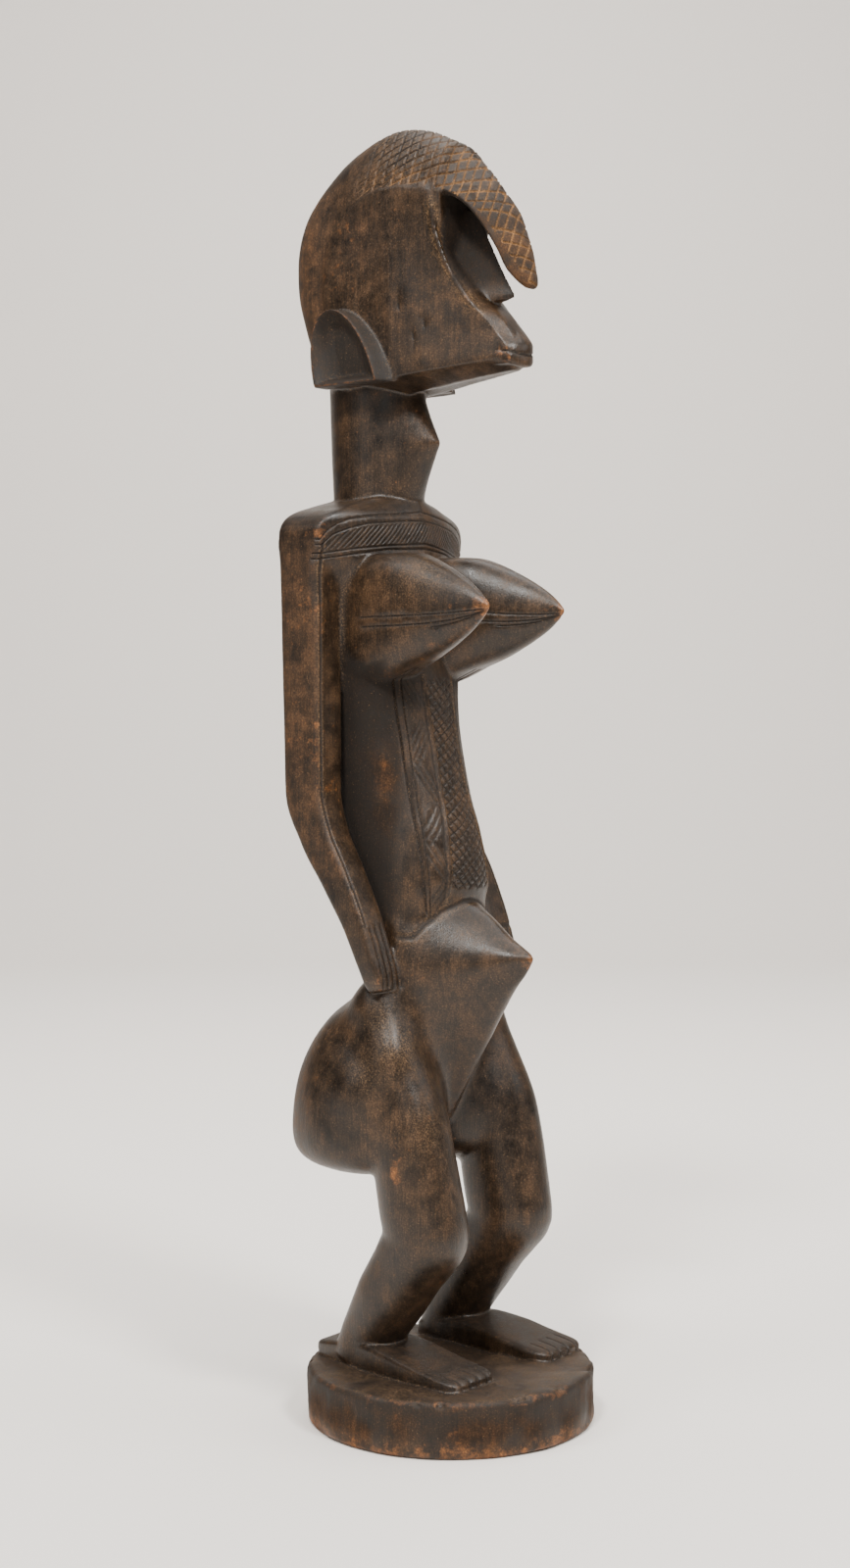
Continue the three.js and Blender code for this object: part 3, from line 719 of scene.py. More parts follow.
def capMask():
    # The cap above its hairline, and the visor's front face
    x, y, z = points.T
    dome = (y > -9) & (z > np.interp(y, *hairline.T) + 0.2) & (y < 100)
    row = through(visor["rows"], 200)
    middle, edge, wide = (np.interp(z, row[:, 0], row[:, k]) for k in (2, 3, 1))
    surface = middle + (edge - middle) * (x / np.maximum(wide, 1)) ** 2
    out = (normals * (points - [0, 12, 690])).sum(axis=1) > 8
    front = (y <= -9) & (z > 655) & out & ((y < surface + 3.5) | (z > 717))
    return (dome | front) & (z > 640)


def hatchCap():
    # Level and cross cuts, the deeper of the two at each point, faded behind, at the hairline and at the rim
    chosen = np.flatnonzero(capMask())
    spotAt = points[chosen]
    x, y, z = spotAt.T
    across = np.abs(x - hatching["middle"]) - hatching["middle"]
    lean = np.interp(z, [700, 730], [-0.13, 0.2])
    level = z + 0.17 * ramp(z, 685, 705) * y + 0.0056 * np.maximum(y, 0) ** 2 + lean * across
    level += softNoise(spotAt, 11, 3) * 0.5
    phase = np.interp(level, *np.array(hatching["levels"], float).T)
    gap = np.interp(level, [690, 735], [7.4, 5.0])
    cross = (-0.58 * across - 0.76 * y - 0.27 * z + softNoise(spotAt, 12, 6) * 0.6) / hatching["crossGap"]
    wide = hatching["halfWidth"]
    first = lines(phase, 1, wide / gap, 1)
    second = lines(cross, 1, wide * 0.9 / hatching["crossGap"], 1) * (0.75 + 0.2 * softNoise(spotAt, 10, 7))
    cut = np.minimum(first, second) + np.maximum(np.maximum(first, second), 0) * 0.5
    fade = 1 - ramp(y + softNoise(spotAt, 8, 5) * 7, *hatching["end"])
    edge = np.where(y > -9, ramp(z - np.interp(y, *hairline.T), 0.3, 1.8), 1)
    inside = 1 - ramp(np.abs(x) - np.interp(z, *np.array(hatching["rim"]).T), -0.6, 0.2) * (z < 712)
    strength = 0.9 + softNoise(spotAt, 9, 4) * 0.25
    depth = np.zeros(len(points))
    depth[chosen] = cut * fade * edge * inside * strength * hatching["depth"]
    return depth


chest = {
    "upper": [[0, 533], [12, 531.6], [26, 530.2], [38.5, 528.8], [50.5, 526.6], [57, 523.6], [62.5, 519.4],
              [66, 514]],
    "upper2": [[0, 527.6], [14, 527], [39.5, 524.3], [50, 521.4], [59.3, 517.2], [65, 511]],
    "lower": [[0, 514], [27, 511.7], [48, 509.2], [65, 506]],
    "lower2": [[0, 511], [27, 509.4], [48, 506], [65, 502.8]],
    "lean": 1.2, "gap": 2.9, "halfWidth": 0.8, "depth": 0.85,
}


def carveChest():
    # Two pairs of lines round the chest and slanting cuts between them
    x, y, z = points.T
    side = np.abs(x)
    at = {key: np.interp(side, *np.array(chest[key]).T) for key in ("upper", "upper2", "lower", "lower2")}
    front = ramp(-normals[:, 1], 0.05, 0.3) * (y < 50) * (z > 496) * (z < 540)
    cut = np.minimum.reduce([groove(z - at[key], chest["halfWidth"], chest["depth"]) for key in at])
    band = ramp(z, at["lower"] + 1, at["lower"] + 2) * (1 - ramp(z, at["upper2"] - 2, at["upper2"] - 1))
    slants = lines(x - z / chest["lean"] + softNoise(points, 12, 8) * 0.5, chest["gap"], 0.9, 0.75) * band
    faint = softNoise(points, 18, 9) * 0.3 + 0.8
    return (np.minimum(cut, slants * faint) + np.maximum(cut, 0)) * front


def carveBreasts():
    # Lines drawn round the cone from root to tip, a little higher on the inner side
    x, y, z = points.T
    side = np.abs(x)
    way = np.clip((46 - y) / 103, 0, 1)
    axis = np.interp(way, [0, 1], [breast["root"][0], breast["tip"][0]])
    inner = ramp(axis - side, -2, 4) * 9 * (1 - way)
    near = ((y < 34) & (y > -55) & (np.abs(z - 473) < 36) & (side < 50) & (side > 3)) * 1.0
    tip = breast["tip"][2] - 1.2
    pull = way ** 5
    cuts = []
    for start, fromWay in breast["lines"]:
        level = start + inner + (tip - start - inner) * pull
        length = ramp(way, fromWay, fromWay + 0.05) * (1 - ramp(way, 0.95, 0.985))
        cuts.append(groove(z - level, 0.8, 0.8) * length)
    return np.minimum.reduce(cuts) * near


belt = {
    "strip": [[430, 11.2], [417, 10.8], [390, 9.8], [360, 11.4], [332, 15.2], [308, 17.2]], "farther": 5,
    "outer": [[432, 30.5], [399, 28.5], [367.5, 28.9], [339, 29.8], [315, 30.3], [296, 27.7]],
    "inner": [[428, 26.3], [399.5, 24.8], [372, 25.4], [344, 27], [315, 27.8], [298, 25.8]],
    "hatchGap": 4.6,
    "zig": [[-23.5, 384.5], [-13, 361.5], [-14, 357.5], [-26.5, 339.5], [-26, 337], [-17, 316.5],
            [-17.5, 314.5], [-27, 297.5]],
    "zigUpper": [[-24, 430], [-13.5, 408], [-14, 405], [-24.5, 387]],
}


def strokes(x, z, ends, copies, gap, halfWidth, depth):
    # Short parallel cuts between pairs of ends, each copy set further down
    cut = np.zeros(len(x))
    for start, stop in zip(ends[::2], ends[1::2]):
        a, b = np.array(start, float), np.array(stop, float)
        run = b - a
        length = np.linalg.norm(run)
        run /= length
        square = np.array([run[1], -run[0]]) * (1 if run[1] < 0 else -1)
        for i in range(copies):
            shift = square * gap * (i - (copies - 1) / 2)
            u = (x - a[0] - shift[0]) * run[0] + (z - a[1] - shift[1]) * run[1]
            v = (x - a[0] - shift[0]) * -run[1] + (z - a[1] - shift[1]) * run[0]
            inside = ramp(u, -4, -2) * (1 - ramp(u, length + 2, length + 4))
            cut = np.minimum(cut, groove(v, halfWidth, depth) * inside)
    return cut


def carveTrunk():
    # A hatched strip between two ridges, strokes in zigzag beside it and a double line outside them
    x, y, z = points.T
    side = np.abs(x)
    front = ((z > 292) & (z < 440) & (y < 34)) * ramp(-normals[:, 1], -0.05, 0.2)
    at = {key: np.interp(z, *np.array(belt[key])[::-1].T) for key in ("strip", "outer", "inner")}
    at["strip"] = at["strip"] + belt["farther"] * (x > 0)  # the far border stands further out
    strip = side - at["strip"]
    ridge = 0.75 * np.exp(-(strip / 0.9) ** 2) - 0.4 * np.exp(-((strip - 2) / 0.8) ** 2)
    ridge *= ramp(z, 300, 312) * (1 - ramp(z, 432, 438))
    double = groove(side - at["outer"], 0.8, 1.1) + groove(side - at["inner"], 0.6, 0.7)
    double *= ramp(z, 294, 300)
    wave = softNoise(points, 10, 11) * 0.6
    gap = belt["hatchGap"]
    down = lines(x * 0.76 + z * 0.65 + wave, gap, 0.7, 0.95)
    up = lines(x * 0.5 - z * 0.87 + wave, gap, 0.6, 0.7)
    hatch = np.minimum(down, up) * (1 - ramp(side, at["strip"] - 2, at["strip"] - 0.8))
    hatch *= ramp(z, 309, 313) * (1 - ramp(z, 430, 436))
    zig = strokes(-side, z, belt["zig"], 3, 3.2, 0.75, 0.32)
    zig = np.minimum(zig, strokes(-side, z, belt["zigUpper"], 4, 2.9, 0.7, 0.2))
    zig *= ramp(side, at["strip"] + 0.8, at["strip"] + 1.6)
    zig *= 1 - ramp(side, at["inner"] - 0.8, at["inner"] - 0.2)
    return (np.minimum.reduce([double, hatch, zig]) + ridge) * front


handLines = {
    "edge": [[253, 62], [273.5, 64.6], [317.5, 66.2], [341.5, 66.4], [368, 67], [512, 68]],
    "fingers": [44.2, 49, 53.8, 58.6],
}  # height and place across of the arm's outer edge, and the cuts between the fingers


def carveArms():
    # A bead down the arm's outer front edge, the crease where the arm leaves the breast, and the fingers
    x, y, z = points.T
    side = np.abs(x)
    rootEdge = groove(np.hypot(side - 45.2, y - 45.6), 1.8, 0.9) * ramp(z, 436, 442) * (1 - ramp(z, 500, 506))
    out = arm["spread"] * (x > 0)
    edge = np.interp(z, *np.array(handLines["edge"]).T) + out * (1 - ramp(z, 317, 345))
    front = ramp(-normals[:, 1] - normals[:, 2] * 0.3, 0.25, 0.6) * (side > 40) * (z > 290) * (z < 512)
    bead = groove(side - edge + 3.4, 0.95, 0.75) * front
    hand = ((z > 252) & (z < 297) & (side > 40)) * ramp(-normals[:, 1], 0.2, 0.5)
    lean = (z - 275) * 0.02
    fingers = np.minimum.reduce([groove(side - out - spot - lean, 1.1, 1.1) for spot in handLines["fingers"]])
    length = ramp(z, 253, 257) * (1 - ramp(z + 10 * (x > 0), 286, 294))
    return bead + fingers * hand * length + rootEdge


def carveFeet():
    # Lengthways cuts between the toes
    x, y, z = points.T
    cut = np.zeros(len(points))
    for side, (heel, toe) in foot["places"].items():
        near = (np.sign(x) == side) & (z > base["height"] + 0.6) & (z < base["height"] + 14)
        lengthways = 1 - ramp(y, toe[1] + foot["toeLength"] - 3, toe[1] + foot["toeLength"])
        gap = foot["toeSpan"] / foot["toes"]
        spots = [toe[0] + (i / foot["toes"] - 0.5) * (foot["toeSpan"] + 6) for i in range(1, foot["toes"])]
        toes = np.minimum.reduce([groove(x - spot, 0.9, 1.3) for spot in spots])
        cut = np.minimum(cut, toes * lengthways * near)
    return cut


def carveHead():
    # The lips' slit, a raised rim along the face's edge and a few old checks in the cheek
    x, y, z = points.T
    slit = groove(z - mouth["slit"] - 0.016 * x ** 2, 0.9, 1.1) * (y < -44) * (np.abs(x) < 12) * (z < 622)
    rows = through(head["rows"], 200)
    edgeX, edgeY = (np.interp(z, rows[:, 0], rows[:, k]) for k in (1, 2))
    off = np.hypot(np.abs(x) - edgeX, y - edgeY)
    rim = 0.6 * np.exp(-(off / 2.4) ** 2) * ramp(z, 640, 652) * (1 - ramp(z, 700, 712)) * (x < 0)
    checks = np.zeros(len(points))
    for spotY, spotZ, length in head["checks"]:
        along = (1 - ramp(np.abs(z - spotZ), length * 0.3, length * 0.5)) * (x < -15)
        checks = np.minimum(checks, groove(y - spotY - (z - spotZ) * 0.15, 0.9, 0.7) * along)
    return np.minimum(slit, checks) + rim


crease = {"line": [[0, 304], [7, 303], [20, 298], [30, 290], [36, 283]], "halfWidth": 1.8, "depth": 0.45}


def carveBelly():
    # A shallow crease over the belly, its height set by how far across it lies
    x, y, z = points.T
    side = np.abs(x)
    front = (y < 8) * ramp(-normals[:, 1] + 0.4 * normals[:, 2], 0.1, 0.4) * (z > 276) * (z < 310)
    line = np.interp(side, *np.array(crease["line"]).T)
    return groove(z - line, crease["halfWidth"], crease["depth"]) * front


uneven = {"broad": 0.35, "small": 0.12, "base": 0.7, "baseSmall": 0.3, "chips": 2.2, "nicks": 0.9}


def handWork():
    # Faint unevenness of a shape cut by eye, broad on the body and rougher on the base
    x, y, z = points.T
    body = softNoise(points * [1, 1, 0.5], 24, 21) * uneven["broad"]
    body += softNoise(points * [1, 1, 0.4], 9, 22) * uneven["small"]
    onBase = 1 - ramp(z, base["height"] - 1, base["height"] + 3)
    rough = softNoise(points * [1, 1, 1.3], 13, 23) * uneven["base"]
    rough += softNoise(points, 5, 24) * uneven["baseSmall"]
    radius = np.hypot(x + build["bodyX"], y + build["bodyY"])
    rim = np.exp(-((radius - base["radius"]) ** 2 + (z - base["height"]) ** 2) / 14)
    chips = -ramp(softNoise(points, 8, 25), 0.25, 0.7) * rim * uneven["chips"]
    standing = ramp(z, 0.5, 3)  # the underside stays flat
    crestEdge = np.exp(-(x / 6) ** 2) * (y < -4) * ramp(z, 690, 715) * (normals[:, 2] > 0.1)
    nicks = -ramp(softNoise(points, 4, 26), 0.1, 0.6) * crestEdge * uneven["nicks"]
    return (body + rough * onBase + chips) * standing + nicks


linework = hatchCap() + carveChest() + carveBreasts() + carveTrunk()
linework += carveArms() + carveFeet() + carveHead() + carveBelly()
points = points + normals * (linework + handWork())[:, None]
capArea = capMask()
print("knife work cut")


# Paint masks worked out on the fine skin: where the patina has worn through, what lies in the cuts, painted
# shade and a painted sheen

spots = {
    "worn": [[36.5, -56, 473, 8, 0.8], [-36.5, -56, 473, 9, 0.9], [0, -61, 272, 7, 0.6],
             [-66, 45, 518, 6, 0.55], [66, 45, 518, 6, 0.5], [-63.5, -10, 153, 3, 2.1],
             [-63, -14, 160, 4, 0.45], [-12, -47, 620, 3.5, 0.7], [12, -47, 618, 4, 0.3],
             [-28, 58, 698, 7, 0.45], [-38, 21, 374, 6, 0.6], [-38, 21, 386, 4, 0.5],
             [-27, -6, 698, 4, 0.5], [-38, -35, 455, 22, 0.22], [-66, 50, 470, 18, 0.25],
             [-66, 52, 400, 20, 0.22], [-66.6, 47, 389, 1.8, 1.6], [-60, 46, 369, 1.8, 1.1],
             [-56, 46, 368, 1.8, 1.2], [-52, 46, 369, 1.8, 1.0], [-25.6, 17.8, 441, 2.2, 1.1],
             [-36, -10, 441, 8, 0.35], [-40, 20, 436, 9, 0.35], [-30, 64, 672, 12, 0.2]],
    # next, a painted sheen: pale speckled grain in place of the highlights on hip, buttock, thigh and breast
    # top
    "paintedSheen": [[-57, -7, 222, 12, 0.7], [-60, 4, 240, 9, 0.5], [-63, 12, 204, 9, 0.5],
               [-52, -22, 175, 12, 0.35], [-38, -12, 492, 14, 0.5]],
    "bare": [[-38, 21, 388, 6, 0.7], [-38, 20, 368, 8, 0.6]],
    "trunkSide": [[-38, 21, 386, 8, 0.8], [-38, 20, 372, 8, 0.9], [-38, 19, 356, 8, 0.7]],
    "plate": [[-28, 45, 690, 22, 0.35], [-26, 10, 655, 18, 0.15]],
}  # place, reach and strength; worn lists breast tips, navel, shoulders, hip, lips, brow and arm


def spotted(key):
    # Bell-shaped spots, added up: each falls off with the square of the distance over its reach
    return sum(strength * np.exp(-(np.linalg.norm(points - [x, y, z], axis=1) / reach) ** 2)
               for x, y, z, reach, strength in spots[key])


# How strongly each worn place, each place of painted shade and each brown place counts

wornShares = {"convex": 0.45, "lowEdge": 0.5, "earRim": 0.35, "topRim": 0.5, "wall": 0.3}


def wearMask():
    # Worn through on convex places, at the spots above, round the base's edges and along the ears' rims
    x, y, z = points.T
    side = np.abs(x)
    bumps = neighbourMean(points, faces, 12) - points
    convex = -(bumps * normals).sum(axis=1)
    earRim = ramp(side, 37, 38.2) * (z > 604) * (z < 656) * (y > 18) * (y < 90)
    radius = np.hypot(x + build["bodyX"], y + build["bodyY"])
    lowEdge = (1 - ramp(z, 2, 11)) * (radius > base["radius"] - 4)
    topRim = np.exp(-((radius - base["radius"]) ** 2 + (z - base["height"]) ** 2) / 12)
    topRim *= np.clip(0.35 + softNoise(points, 9, 43), 0, 1)
    wall = ramp(softNoise(points * [1, 1, 1.5], 11, 42), 0.15, 0.75)
    wall *= (radius > base["radius"] - 3) * (z < 31)
    places = {"convex": ramp(convex, 0.3, 0.9), "lowEdge": lowEdge, "earRim": earRim, "topRim": topRim,
              "wall": wall}
    wear = spotted("worn") + sum(places[key] * share for key, share in wornShares.items())
    return np.clip(wear, 0, 1.5), convex


# Shares of the painted shade, place by place
paintedShadeShares = {"besideArm": 1, "behindArm": 0.9, "underVisor": 0.6, "inEar": 0.65, "wall": 0.6, "armRoot": 1,
                "visorCells": 0.38, "onTop": 0.4}


def paintedShadeMask():
    # Painted shade: black laid into the coat beside and behind the arms, at the arm's root, under the visor,
    # in the ears and on the base's side; it also darkens the visor's cells and the base's top
    x, y, z = points.T
    side = np.abs(x)
    between = ramp(z, 285, 300) * (side < 46) * (1 - np.clip(spotted("bare"), 0, 1))
    beside = (side < 21) * (1 - ramp(y, -4, 4)) * ramp(z, 652, 664) * (z < 716)
    beside = beside * (y > np.interp(z, [656, 716], [-52, -30]))
    brow = (y > -52) & (y < -14) & (z > 690) & (z < 716)
    wall = np.hypot(x + build["bodyX"], y + build["bodyY"]) > base["radius"] - 2
    armRoot = np.exp(-((side - 45) ** 2 + (y - 45) ** 2) / 6)
    places = {
        "besideArm": between * ramp(y, 8, 20) * (1 - ramp(z, 440, 460)),
        "behindArm": between * ramp(y, 2, 16) * (side > 30) * (1 - ramp(z, 420, 440)),
        "underVisor": np.maximum(brow, 1.4 * beside),
        "inEar": (side > 28.8) & (z > 604) & (z < 656) & (y > 20),
        "wall": wall * ramp(z, 5, 14) * (z < base["height"]),
        "armRoot": armRoot * ramp(z, 436, 442) * (1 - ramp(z, 500, 506)),
        "visorCells": (y < -9) & capArea,
        "onTop": ramp(normals[:, 2], 0.6, 0.9) * (z > 26) * (z < 60),
    }
    return np.maximum.reduce([places[key] * share for key, share in paintedShadeShares.items()])


warmShares = {"cap": 0.1, "capBack": 0.6, "visor": 0.7, "arms": 0.35, "buttocks": 0.35, "base": 0.4}


def warmMask():
    # The cap's back and visor have kept less of the dark coat; arms, trunk side and base show brown in places
    x, y, z = points.T
    onCap = capArea | ((y > 60) & (z > 640) & (np.abs(x) < 27.4))
    capBack = ramp(y, 60, 104) * warmShares["capBack"]
    visorFront = ramp(-y, 10, 30) * ramp(-z, -708, -676) * warmShares["visor"]
    arms = ramp(np.abs(x), 62, 65) * ramp(z, 300, 330) * (1 - ramp(z, 500, 530))
    buttocks = ramp(y, 40, 70) * ramp(z, 140, 170) * (1 - ramp(z, 200, 240))
    baseSide = (1 - ramp(z, 12, 32)) * (warmShares["base"] + 1.1 * softNoise(points, 12, 41))
    return np.clip(np.maximum.reduce([
        np.where(onCap, warmShares["cap"] + np.maximum(capBack, visorFront), 0),
        arms * warmShares["arms"], buttocks * warmShares["buttocks"], np.clip(baseSide, 0, 0.9),
        spotted("trunkSide"), spotted("plate"),
    ]), 0, 1)


def baseDust():
    # Pale dust on the base's top, thickest along the feet
    x, y, z = points.T
    flat = ramp(normals[:, 2], 0.6, 0.9) * (z > base["height"] - 4) * (z < base["height"] + 2.5)
    return np.clip(flat * (0.3 + 0.7 * softNoise(points, 9, 32)), 0, 1)


def dustyMask():
    # Cuts filled with pale dust: all over the visor, and on the dome next to the plate and towards the front
    x, y, z = points.T
    near = (1 - ramp(z - np.interp(y, *hairline.T), 5, 16)) * (y > -9)
    share = np.maximum.reduce([ramp(-y, 4, 22), near * 0.7, ramp(-y, -20, 4) * 0.3])
    return np.clip(share + softNoise(points, 7, 31) * 0.35, 0, 1) * (z > 650) * capArea


wear, convex = wearMask()
cut = np.clip(-linework / 0.4, 0, 1)
dusty = dustyMask() * cut
# The burr mask also carries the painted sheen; the hollow mask darkens creases as painted shade and holds
# settled dust; the dark places beside the arms, under the visor, in the ears and on the base are painted
# shade
masks = {
    "wear": wear, "cut": cut - dusty, "dusty": dusty,
    "burr": np.clip(linework / 0.09, 0, 1) * (linework < 0.3) + baseDust() + spotted("paintedSheen"),
    "hollow": ramp(-convex, 0.05, 0.5), "paintedShade": np.clip(paintedShadeMask(), 0, 1), "warm": warmMask(),
}


# The finished piece

def finishedFigure():
    # In metres on its base, with the masks as attributes, thinned to the triangles kept
    placed = (points + [build["bodyX"], build["bodyY"], 0]) / 1000
    mesh = meshOf("carving", placed, faces)
    for key, values in masks.items():
        mesh.attributes.new(key, "FLOAT", "POINT").data.foreach_set("value", values.astype(np.float32))
    work = bpy.data.objects.new("carving", mesh)
    bpy.context.scene.collection.objects.link(work)
    thin = work.modifiers.new("thin", "DECIMATE")
    thin.ratio = min(1.0, build["triangles"] / len(faces))
    result = bpy.data.meshes.new_from_object(work.evaluated_get(bpy.context.evaluated_depsgraph_get()))
    result.name = "carving"
    bpy.data.objects.remove(work)
    result.polygons.foreach_set("use_smooth", np.ones(len(result.polygons), bool))
    figure = bpy.data.objects.new("carving", result)
    bpy.context.scene.collection.objects.link(figure)
    print("figure finished:", len(result.polygons), "faces,", [a.name for a in result.attributes])
    return figure


figure = finishedFigure()


# Finish of the wood: grain, wear and settled dust as shared groups

def addGroup(name, amounts, outputs):
    # A shader group that takes a place and named amounts, and puts out masks
    group = bpy.data.node_groups.new(name, "ShaderNodeTree")
    group.interface.new_socket("Vector", in_out="INPUT", socket_type="NodeSocketVector")
    for label, value in amounts.items():
        group.interface.new_socket(label, in_out="INPUT", socket_type="NodeSocketFloat").default_value = value
    for label in outputs:
        group.interface.new_socket(label, in_out="OUTPUT", socket_type="NodeSocketFloat")
    return group, group.nodes.new("NodeGroupInput").outputs, group.nodes.new("NodeGroupOutput").inputs


def setSocket(tree, socket, source):
    # A link where the source is a socket, its own value otherwise; a colour gets its alpha
    if isinstance(source, bpy.types.NodeSocket):
        tree.links.new(source, socket)
    else:
        socket.default_value = (*source, 1) if isinstance(source, tuple) else source


def node(tree, kind, sources=None, **settings):
    # A node with its settings, and its inputs linked or set
    made = tree.nodes.new(kind)
    for key, value in settings.items():
        setattr(made, key, value)
    for key, source in (sources or {}).items():
        setSocket(tree, made.inputs[key], source)
    return made


def noise(tree, vector, scale, detail, roughness):
    return node(tree, "ShaderNodeTexNoise", {"Vector": vector, "Scale": scale, "Detail": detail,
                                             "Roughness": roughness}).outputs["Fac"]


def rampNode(tree, source, stops):
    # Colours, or greys where a stop gives one number, blended between places
    made = node(tree, "ShaderNodeValToRGB", {"Fac": source})
    while len(made.color_ramp.elements) < len(stops):
        made.color_ramp.elements.new(0.5)
    for element, (place, tone) in zip(made.color_ramp.elements, stops):
        element.position = place
        element.color = (*tone, 1) if isinstance(tone, tuple) else (tone, tone, tone, 1)
    return made.outputs["Color"]


def maths(tree, operation, first, second, clamp=False):
    made = node(tree, "ShaderNodeMath", {0: first, 1: second}, operation=operation, use_clamp=clamp)
    return made.outputs[0]


def weighted(tree, sources, shares):
    # The sum of the named sources, each times its share
    total = None
    for key, share in shares.items():
        part = maths(tree, "MULTIPLY", sources[key], share)
        total = part if total is None else maths(tree, "ADD", total, part)
    return total


def patchy(tree, mask, source, stops):
    # A mask thinned by a ramp of a noise
    return maths(tree, "MULTIPLY", mask, rampNode(tree, source, stops), clamp=True)


def mixed(tree, factor, first, second, blend="MIX"):
    made = node(tree, "ShaderNodeMix", data_type="RGBA", blend_type=blend)
    for place, source in ((0, factor), (6, first), (7, second)):
        setSocket(tree, made.inputs[place], source)
    return made.outputs[2]


def grainGroup():
    # Streaks along the trunk of the tree: noise drawn out upright, and finer pores
    group, start, end = addGroup("grain", {"Across": 500.0, "Along": 28.0}, ["Streak", "Pore"])
    scale = node(group, "ShaderNodeCombineXYZ",
                 {"X": start["Across"], "Y": start["Across"], "Z": start["Along"]})
    drawn = node(group, "ShaderNodeVectorMath", {0: start["Vector"], 1: scale.outputs[0]},
                 operation="MULTIPLY")
    group.links.new(noise(group, drawn.outputs[0], 1.0, 5.0, 0.6), end["Streak"])
    group.links.new(noise(group, drawn.outputs[0], 2.6, 3.0, 0.7), end["Pore"])
    return group


def wearGroup():
    # A worn edge: the mask broken up by noise, so that it frays
    group, start, end = addGroup("wear", {"Mask": 0.0, "Scale": 220.0, "Fray": 0.6}, ["Worn"])
    centred = maths(group, "SUBTRACT", noise(group, start["Vector"], start["Scale"], 6.0, 0.65), 0.5)
    frayed = maths(group, "MULTIPLY", centred, start["Fray"])
    total = maths(group, "ADD", start["Mask"], maths(group, "MULTIPLY", frayed, 4.0))
    worn = node(group, "ShaderNodeMapRange", {"Value": total, "From Min": 0.35, "From Max": 0.95})
    group.links.new(worn.outputs[0], end["Worn"])
    return group


def patchGroup():
    # Broad clouds of lighter and darker patina, blotches a centimetre across and fine flecks
    group, start, end = addGroup("patches", {"Scale": 24.0}, ["Cloud", "Mottle", "Speck"])
    kinds = (("Cloud", 1.0, 3, 0.5), ("Mottle", 4.0, 8, 0.68), ("Speck", 42.0, 3, 0.6))
    for label, times, detail, rough in kinds:
        scale = maths(group, "MULTIPLY", start["Scale"], times)
        group.links.new(noise(group, start["Vector"], scale, detail, rough), end[label])
    return group


wood = {
    "black": (0.0085, 0.0052, 0.0031), "dark": (0.024, 0.0138, 0.0072), "brown": (0.055, 0.029, 0.0135),
    "capBrown": (0.063, 0.0285, 0.0105), "worn": (0.125, 0.053, 0.0185), "orange": (0.27, 0.10, 0.028),
    "dust": (0.16, 0.092, 0.042), "cutDust": (0.25, 0.125, 0.048),
    "coatShares": {"cloud": 0.25, "mottle": 0.4, "streak": 0.2, "pore": 0.15},
    "brownShares": {"streak": 0.4, "mottle": 0.6},
    "shadeShares": {"hollow": 0.5, "paintedShade": 0.85}, "shadeMost": 0.88,
    "wornShare": 0.85, "cutShare": 0.8, "specular": 0.36, "smoothest": 0.03,
    "roughShares": {"cut": 0.4, "warm": 0.4, "dusty": 0.3, "mottle": 0.4, "speck": 0.3, "paintedShade": 0.5},
    "reliefShares": {"streak": 0.4, "pore": 0.2, "speck": 0.3}, "relief": 0.5, "reliefDepth": 0.0006,
}


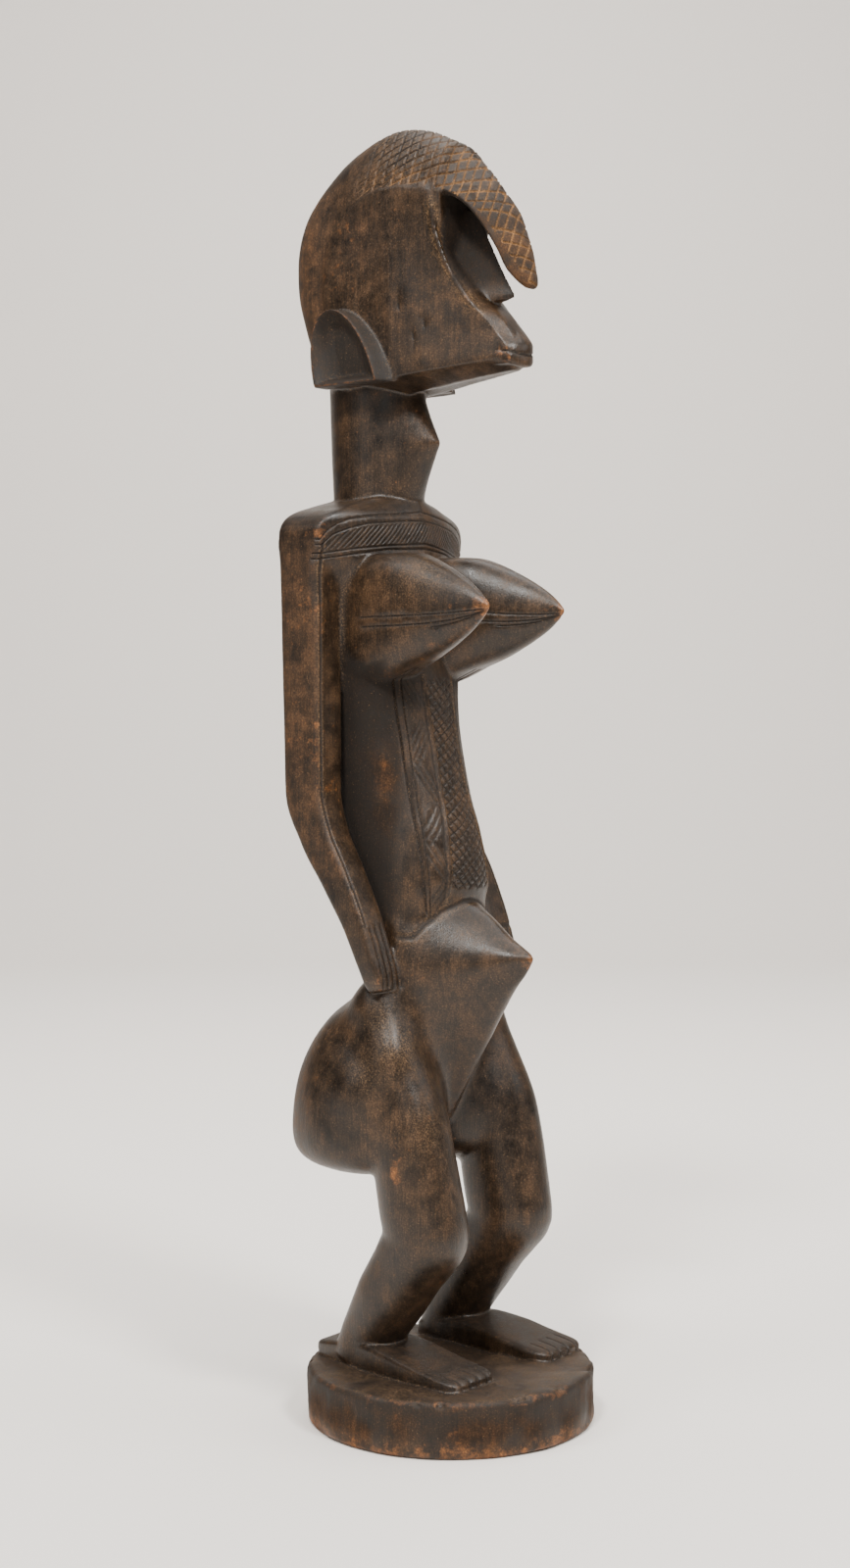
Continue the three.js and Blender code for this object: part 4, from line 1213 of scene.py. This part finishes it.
def woodMaterial():
    # A dark coat in clouds and streaks, browner where warm, under layers that each cover it by a mask
    material = bpy.data.materials.new("wood")
    material.use_nodes = True
    tree = material.node_tree
    shader = tree.nodes["Principled BSDF"]
    place = node(tree, "ShaderNodeTexCoord").outputs["Object"]
    at = {}
    for key in masks:
        attribute = node(tree, "ShaderNodeAttribute", attribute_name=key, attribute_type="GEOMETRY")
        at[key] = attribute.outputs["Fac"]
    grain = node(tree, "ShaderNodeGroup", node_tree=grainGroup())
    patches = node(tree, "ShaderNodeGroup", node_tree=patchGroup())
    frayed = node(tree, "ShaderNodeGroup", node_tree=wearGroup())
    for group in (grain, patches, frayed):
        tree.links.new(place, group.inputs["Vector"])
    tree.links.new(at["wear"], frayed.inputs["Mask"])
    at.update({key.lower(): group.outputs[key] for group, keys in
               ((grain, ("Streak", "Pore")), (patches, ("Cloud", "Mottle", "Speck"))) for key in keys})

    coat = rampNode(tree, weighted(tree, at, wood["coatShares"]),
                    [(0.4, wood["black"]), (0.5, wood["dark"]), (0.6, wood["brown"])])
    brownTone = rampNode(tree, weighted(tree, at, wood["brownShares"]),
                         [(0.38, wood["dark"]), (0.5, wood["capBrown"]), (0.68, wood["worn"])])
    colour = mixed(tree, patchy(tree, at["warm"], at["mottle"], [(0.3, 0.45), (0.6, 1.0)]), coat, brownTone)
    shade = maths(tree, "MINIMUM", weighted(tree, at, wood["shadeShares"]), wood["shadeMost"])
    # worn wood, burrs with the painted sheen, cuts, painted shade in hollows and recesses, dust in hollows,
    # dust in the cap's cuts and stray dust, one over another
    layers = [
        (maths(tree, "MULTIPLY", frayed.outputs["Worn"], wood["wornShare"]),
         rampNode(tree, at["mottle"], [(0.35, wood["worn"]), (0.62, wood["orange"])])),
        (patchy(tree, at["burr"], at["speck"], [(0.38, 0.0), (0.62, 0.55)]), wood["dust"]),
        (maths(tree, "MULTIPLY", at["cut"], wood["cutShare"], clamp=True), wood["black"]),
        (shade, wood["black"]),
        (patchy(tree, at["hollow"], at["speck"], [(0.5, 0.0), (0.66, 0.22)]), wood["dust"]),
        (patchy(tree, at["dusty"], at["mottle"], [(0.38, 0.25), (0.6, 0.75)]), wood["cutDust"]),
        (rampNode(tree, at["speck"], [(0.67, 0.0), (0.74, 0.35)]), wood["dust"]),
    ]
    for share, tone in layers:
        colour = mixed(tree, share, colour, tone)
    fleck = rampNode(tree, at["speck"], [(0.3, 0.6), (0.5, 0.95), (0.68, 1.7)])
    tree.links.new(mixed(tree, 1.0, colour, fleck, "MULTIPLY"), shader.inputs["Base Color"])
    shader.inputs["Specular IOR Level"].default_value = wood["specular"]

    matt = maths(tree, "ADD", weighted(tree, at, wood["roughShares"]), wood["smoothest"], clamp=True)
    tree.links.new(matt, shader.inputs["Roughness"])
    height = weighted(tree, at, wood["reliefShares"])
    relief = node(tree, "ShaderNodeBump", {"Height": height, "Strength": wood["relief"],
                                           "Distance": wood["reliefDepth"]})
    tree.links.new(relief.outputs["Normal"], shader.inputs["Normal"])
    return material


figure.data.materials.clear()
figure.data.materials.append(woodMaterial())
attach(figure, "root")
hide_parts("figure")
print("wood finished")


# Pale floor that sweeps up behind, and soft studio light

stage = {"width": 7.0, "front": 3.2, "back": 2.4, "sweep": 1.2, "wall": 3.4, "tone": (0.9, 0.85, 0.8)}


def floorPiece():
    # A profile in side view, flat then a quarter circle then upright, carried straight across the view
    turn = np.linspace(0, np.pi / 2, 24)[1:]
    flat = np.array([[-stage["front"], 0], [stage["back"], 0]])
    sweep = stage["sweep"]
    bend = np.stack([stage["back"] + sweep * np.sin(turn), sweep * (1 - np.cos(turn))], axis=-1)
    profile = np.vstack([flat, bend, [[stage["back"] + sweep, stage["wall"]]]])
    away, across = -np.array(toCamera), np.array(toRight)
    edges = []
    for reach in (-stage["width"] / 2, stage["width"] / 2):
        edges.append(profile[:, :1] * away + across * reach + profile[:, 1:] * upAxis)
    points = np.vstack(edges)
    count = len(profile)
    i = np.arange(count - 1)
    faces = np.vstack([np.stack([i, i + count, i + count + 1], axis=-1),
                       np.stack([i, i + count + 1, i + 1], axis=-1)])
    floor = bpy.data.objects.new("floor", meshOf("floor", points, faces))
    floor.data.polygons.foreach_set("use_smooth", np.ones(len(floor.data.polygons), bool))
    material = bpy.data.materials.new("paper")
    material.use_nodes = True
    shader = material.node_tree.nodes["Principled BSDF"]
    shader.inputs["Base Color"].default_value = (*stage["tone"], 1)
    shader.inputs["Roughness"].default_value = 0.9
    floor.data.materials.append(material)
    bpy.context.scene.collection.objects.link(floor)
    return floor


lights = {
    "key": [-0.48, 1.33, 2.1, 0.34, 46, (1.0, 0.98, 0.94)],
    "right": [0.95, 1.27, 1.95, 0.45, 46, (1.0, 0.98, 0.95)],
    "left": [-1.5, 0.6, 2.2, 0.8, 17, (1.0, 0.985, 0.96)],
    "side": [-1.5, 1.25, 1.1, 0.8, 5, (1.0, 0.985, 0.96)],
    "edge": [1.9, 0.1, 1.3, 1.0, 9, (1.0, 0.985, 0.96)],
    "fill": [-0.3, 1.9, 0.8, 0.6, 2.5, (1.0, 0.985, 0.96)],
    "top": [0.3, -0.2, 2.6, 2.2, 52, (1.0, 0.99, 0.97)],
    "wall": [0.0, -1.0, 2.4, 2.0, 76, (1.0, 0.98, 0.955)],
}  # metres right of, towards and above the figure as the camera sees it, size, watts and tone
aims = {"figure": (0.0, 0.0, 0.42), "wall": (0.0, -3.4, 0.9)}
evenLight = {"tone": (1.0, 0.985, 0.965), "strength": 0.13}


def fromCamera(right, toward, up):
    return toRight * right + toCamera * toward + Vector((0, 0, up))


def placeLights():
    # Square lamps aimed at the figure's middle, one at the wall, and a weak even light from all round
    for name, (right, toward, up, size, power, tone) in lights.items():
        data = bpy.data.lights.new(name, "AREA")
        data.shape = "SQUARE"
        data.size = size
        data.energy = power
        data.color = tone
        lamp = bpy.data.objects.new(name, data)
        lamp.location = fromCamera(right, toward, up)
        aim = fromCamera(*aims.get(name, aims["figure"]))
        lamp.rotation_euler = (aim - lamp.location).to_track_quat("-Z", "Y").to_euler()
        bpy.context.scene.collection.objects.link(lamp)
    world = bpy.data.worlds.new("studio")
    world.use_nodes = True
    background = world.node_tree.nodes["Background"]
    background.inputs["Color"].default_value = (*evenLight["tone"], 1)
    background.inputs["Strength"].default_value = evenLight["strength"]
    bpy.context.scene.world = world


floorPiece()
placeLights()
print("stage and lights placed")
